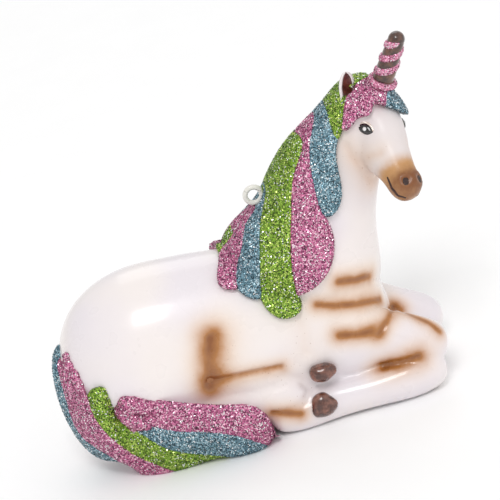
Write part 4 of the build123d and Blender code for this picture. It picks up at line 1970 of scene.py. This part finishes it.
# Glitter heaped on the tail: each heap's X and Z on the middle plane, and its radius, in millimetres.
TAIL_HEAPS = {
    "tail_inner_pink": (
        ((-38.4, 12.1), 2.5), ((-36.7, 11.6), 2.4), ((-35.1, 10.7), 2.2), ((-33.2, 9.8), 2.0),
        ((-31.1, 8.6), 1.8), ((-40.1, 10.9), 2.0), ((-39.2, 9.1), 2.2), ((-38.1, 7.5), 2.2),
        ((-36.5, 6.4), 2.2), ((-34.9, 5.6), 1.9), ((-38.3, 5.8), 1.5),
    ),
    "tail_outer_pink": (
        ((-49.2, 29.7), 1.3), ((-49.2, 27.1), 1.6), ((-48.7, 24.0), 1.8), ((-48.2, 21.2), 1.6),
        ((-50.4, 27.5), 1.5), ((-50.3, 24.8), 1.8), ((-50.2, 21.8), 1.8),
    ),
}
# The arcs round the horn's foot, in degrees, where each forelock is heaped up.
FORELOCK_ARCS = {"forelock_pink": (165.0, 282.0), "forelock_teal": (302.0, 400.0)}
LOCK_TINTS = {"green": Tint.GREEN, "pink": Tint.PINK, "teal": Tint.TEAL}
FINE_FLAKES = {
    "Seed": 40, "Flake_radius": 0.13 * MM, "Spacing": 0.15 * MM, "Density": 20.0e6, "Lift": 0.05 * MM,
}
EARS = (
    Ear("near_ear", (35.2 * MM, -5.4 * MM, 75.8 * MM), (0.20, -0.14, 0.97), (0.50, -0.78, 0.25), 9.6 * MM),
    Ear("far_ear", (43.2 * MM, 1.2 * MM, 74.6 * MM), (0.05, 0.75, 0.66), (0.75, -0.35, 0.30), 6.0 * MM),
)
MUZZLE_LINES = (
    EnamelLine("mouth_line", ((40.4, 53.0), (40.8, 49.8), (41.8, 47.4), (43.6, 46.1)), 0.46 * MM),
    EnamelLine("nostril", ((44.8, 51.5), (44.6, 50.6), (44.6, 49.5)), 0.78 * MM, 0.08 * MM),
)
HOOVES = (Hoof("near_fore_hoof"), Hoof("near_hind_hoof", 3), Hoof("far_fore_hoof"), Hoof("far_hind_hoof", 3))


def report(*pieces: bpy.types.Object) -> None:
    """Log each finished piece with its number of faces."""
    for piece in pieces:
        LOG.info("%s: %d faces", piece.name, len(piece.data.polygons))


def build_locks(frame: dict, kit: GlitterKit, skin: Surface, horn: Horn) -> None:
    """Make the mane, the forelock and the tail, in the order of their names.

    Args:
        kit: the glitter to dress them from.
        skin: the glass skin below them.
        horn: the horn that the forelock is heaped round.
    """
    mounds = {node: horn.heap(*arc) for node, arc in FORELOCK_ARCS.items()}
    for node, heaps in TAIL_HEAPS.items():
        mounds[node] = tuple(Mound(skin.under(spot, Side.NEAR), radius * MM) for spot, radius in heaps)
    crests = {"tail_inner_pink": TAIL_CREST}
    nodes = [name for name in frame["nodes"] if "mane_" in name or name.startswith(("forelock_", "tail_"))]
    for seed, node in enumerate(sorted(nodes), start=1):
        tint = LOCK_TINTS[node.rsplit("_", 1)[1]]
        lock = GlitterLock(node, tint, seed, mounds=mounds.get(node, ()), crest=crests.get(node, ()))
        report(lock.build(kit, skin))


def build_hanger(frame: dict, kit: GlitterKit) -> None:
    """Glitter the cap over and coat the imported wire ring.

    Args:
        kit: the glitter to dress the cap from.
    """
    cap = GlitterLock(
        "hanger_cap", Tint.GREEN, 60, "hanger",
        voxel=0.12 * MM, swell=0.04 * MM, rounds=2, flake_radius=0.15 * MM,
    )
    report(cap.build(kit))
    wire = frame["nodes"]["hanger_wire"]
    wire.data.materials.clear()
    wire.data.materials.append(CoatedWire().material())


def build_head(head: Head, skin: Surface, pearl: bpy.types.Material) -> None:
    """Make the ears, the eyes and the lines of the muzzle.

    Args:
        head: the head's frame.
        skin: the glass skin below them.
        pearl: the body's lacquer, for the ears.
    """
    lining = EAR_LINING.material()
    for ear in EARS:
        report(ear.build(pearl, lining))
    for side in Side:
        report(*Eye(side, head).build(skin))
    dark = MUZZLE_LINE.material()
    for line in MUZZLE_LINES:
        report(*line.build(skin, head, dark))


def main() -> None:
    """Build every piece in order, and note the sizes."""
    logging.basicConfig(level=logging.INFO, format="%(name)s: %(message)s")
    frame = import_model()
    Studio().build()
    head, horn = Head(), Horn()
    body = GlassBody().build(head)
    report(body)
    skin = Surface(body.data)
    kit = GlitterKit.mixed()
    build_locks(frame, kit, skin, horn)
    build_hanger(frame, kit)
    report(*horn.build(kit))
    build_head(head, skin, body.data.materials[0])
    hoof_paint = HOOF_ENAMEL.material()
    for hoof in HOOVES:
        report(hoof.build(hoof_paint))


if __name__ == "__main__":
    main()
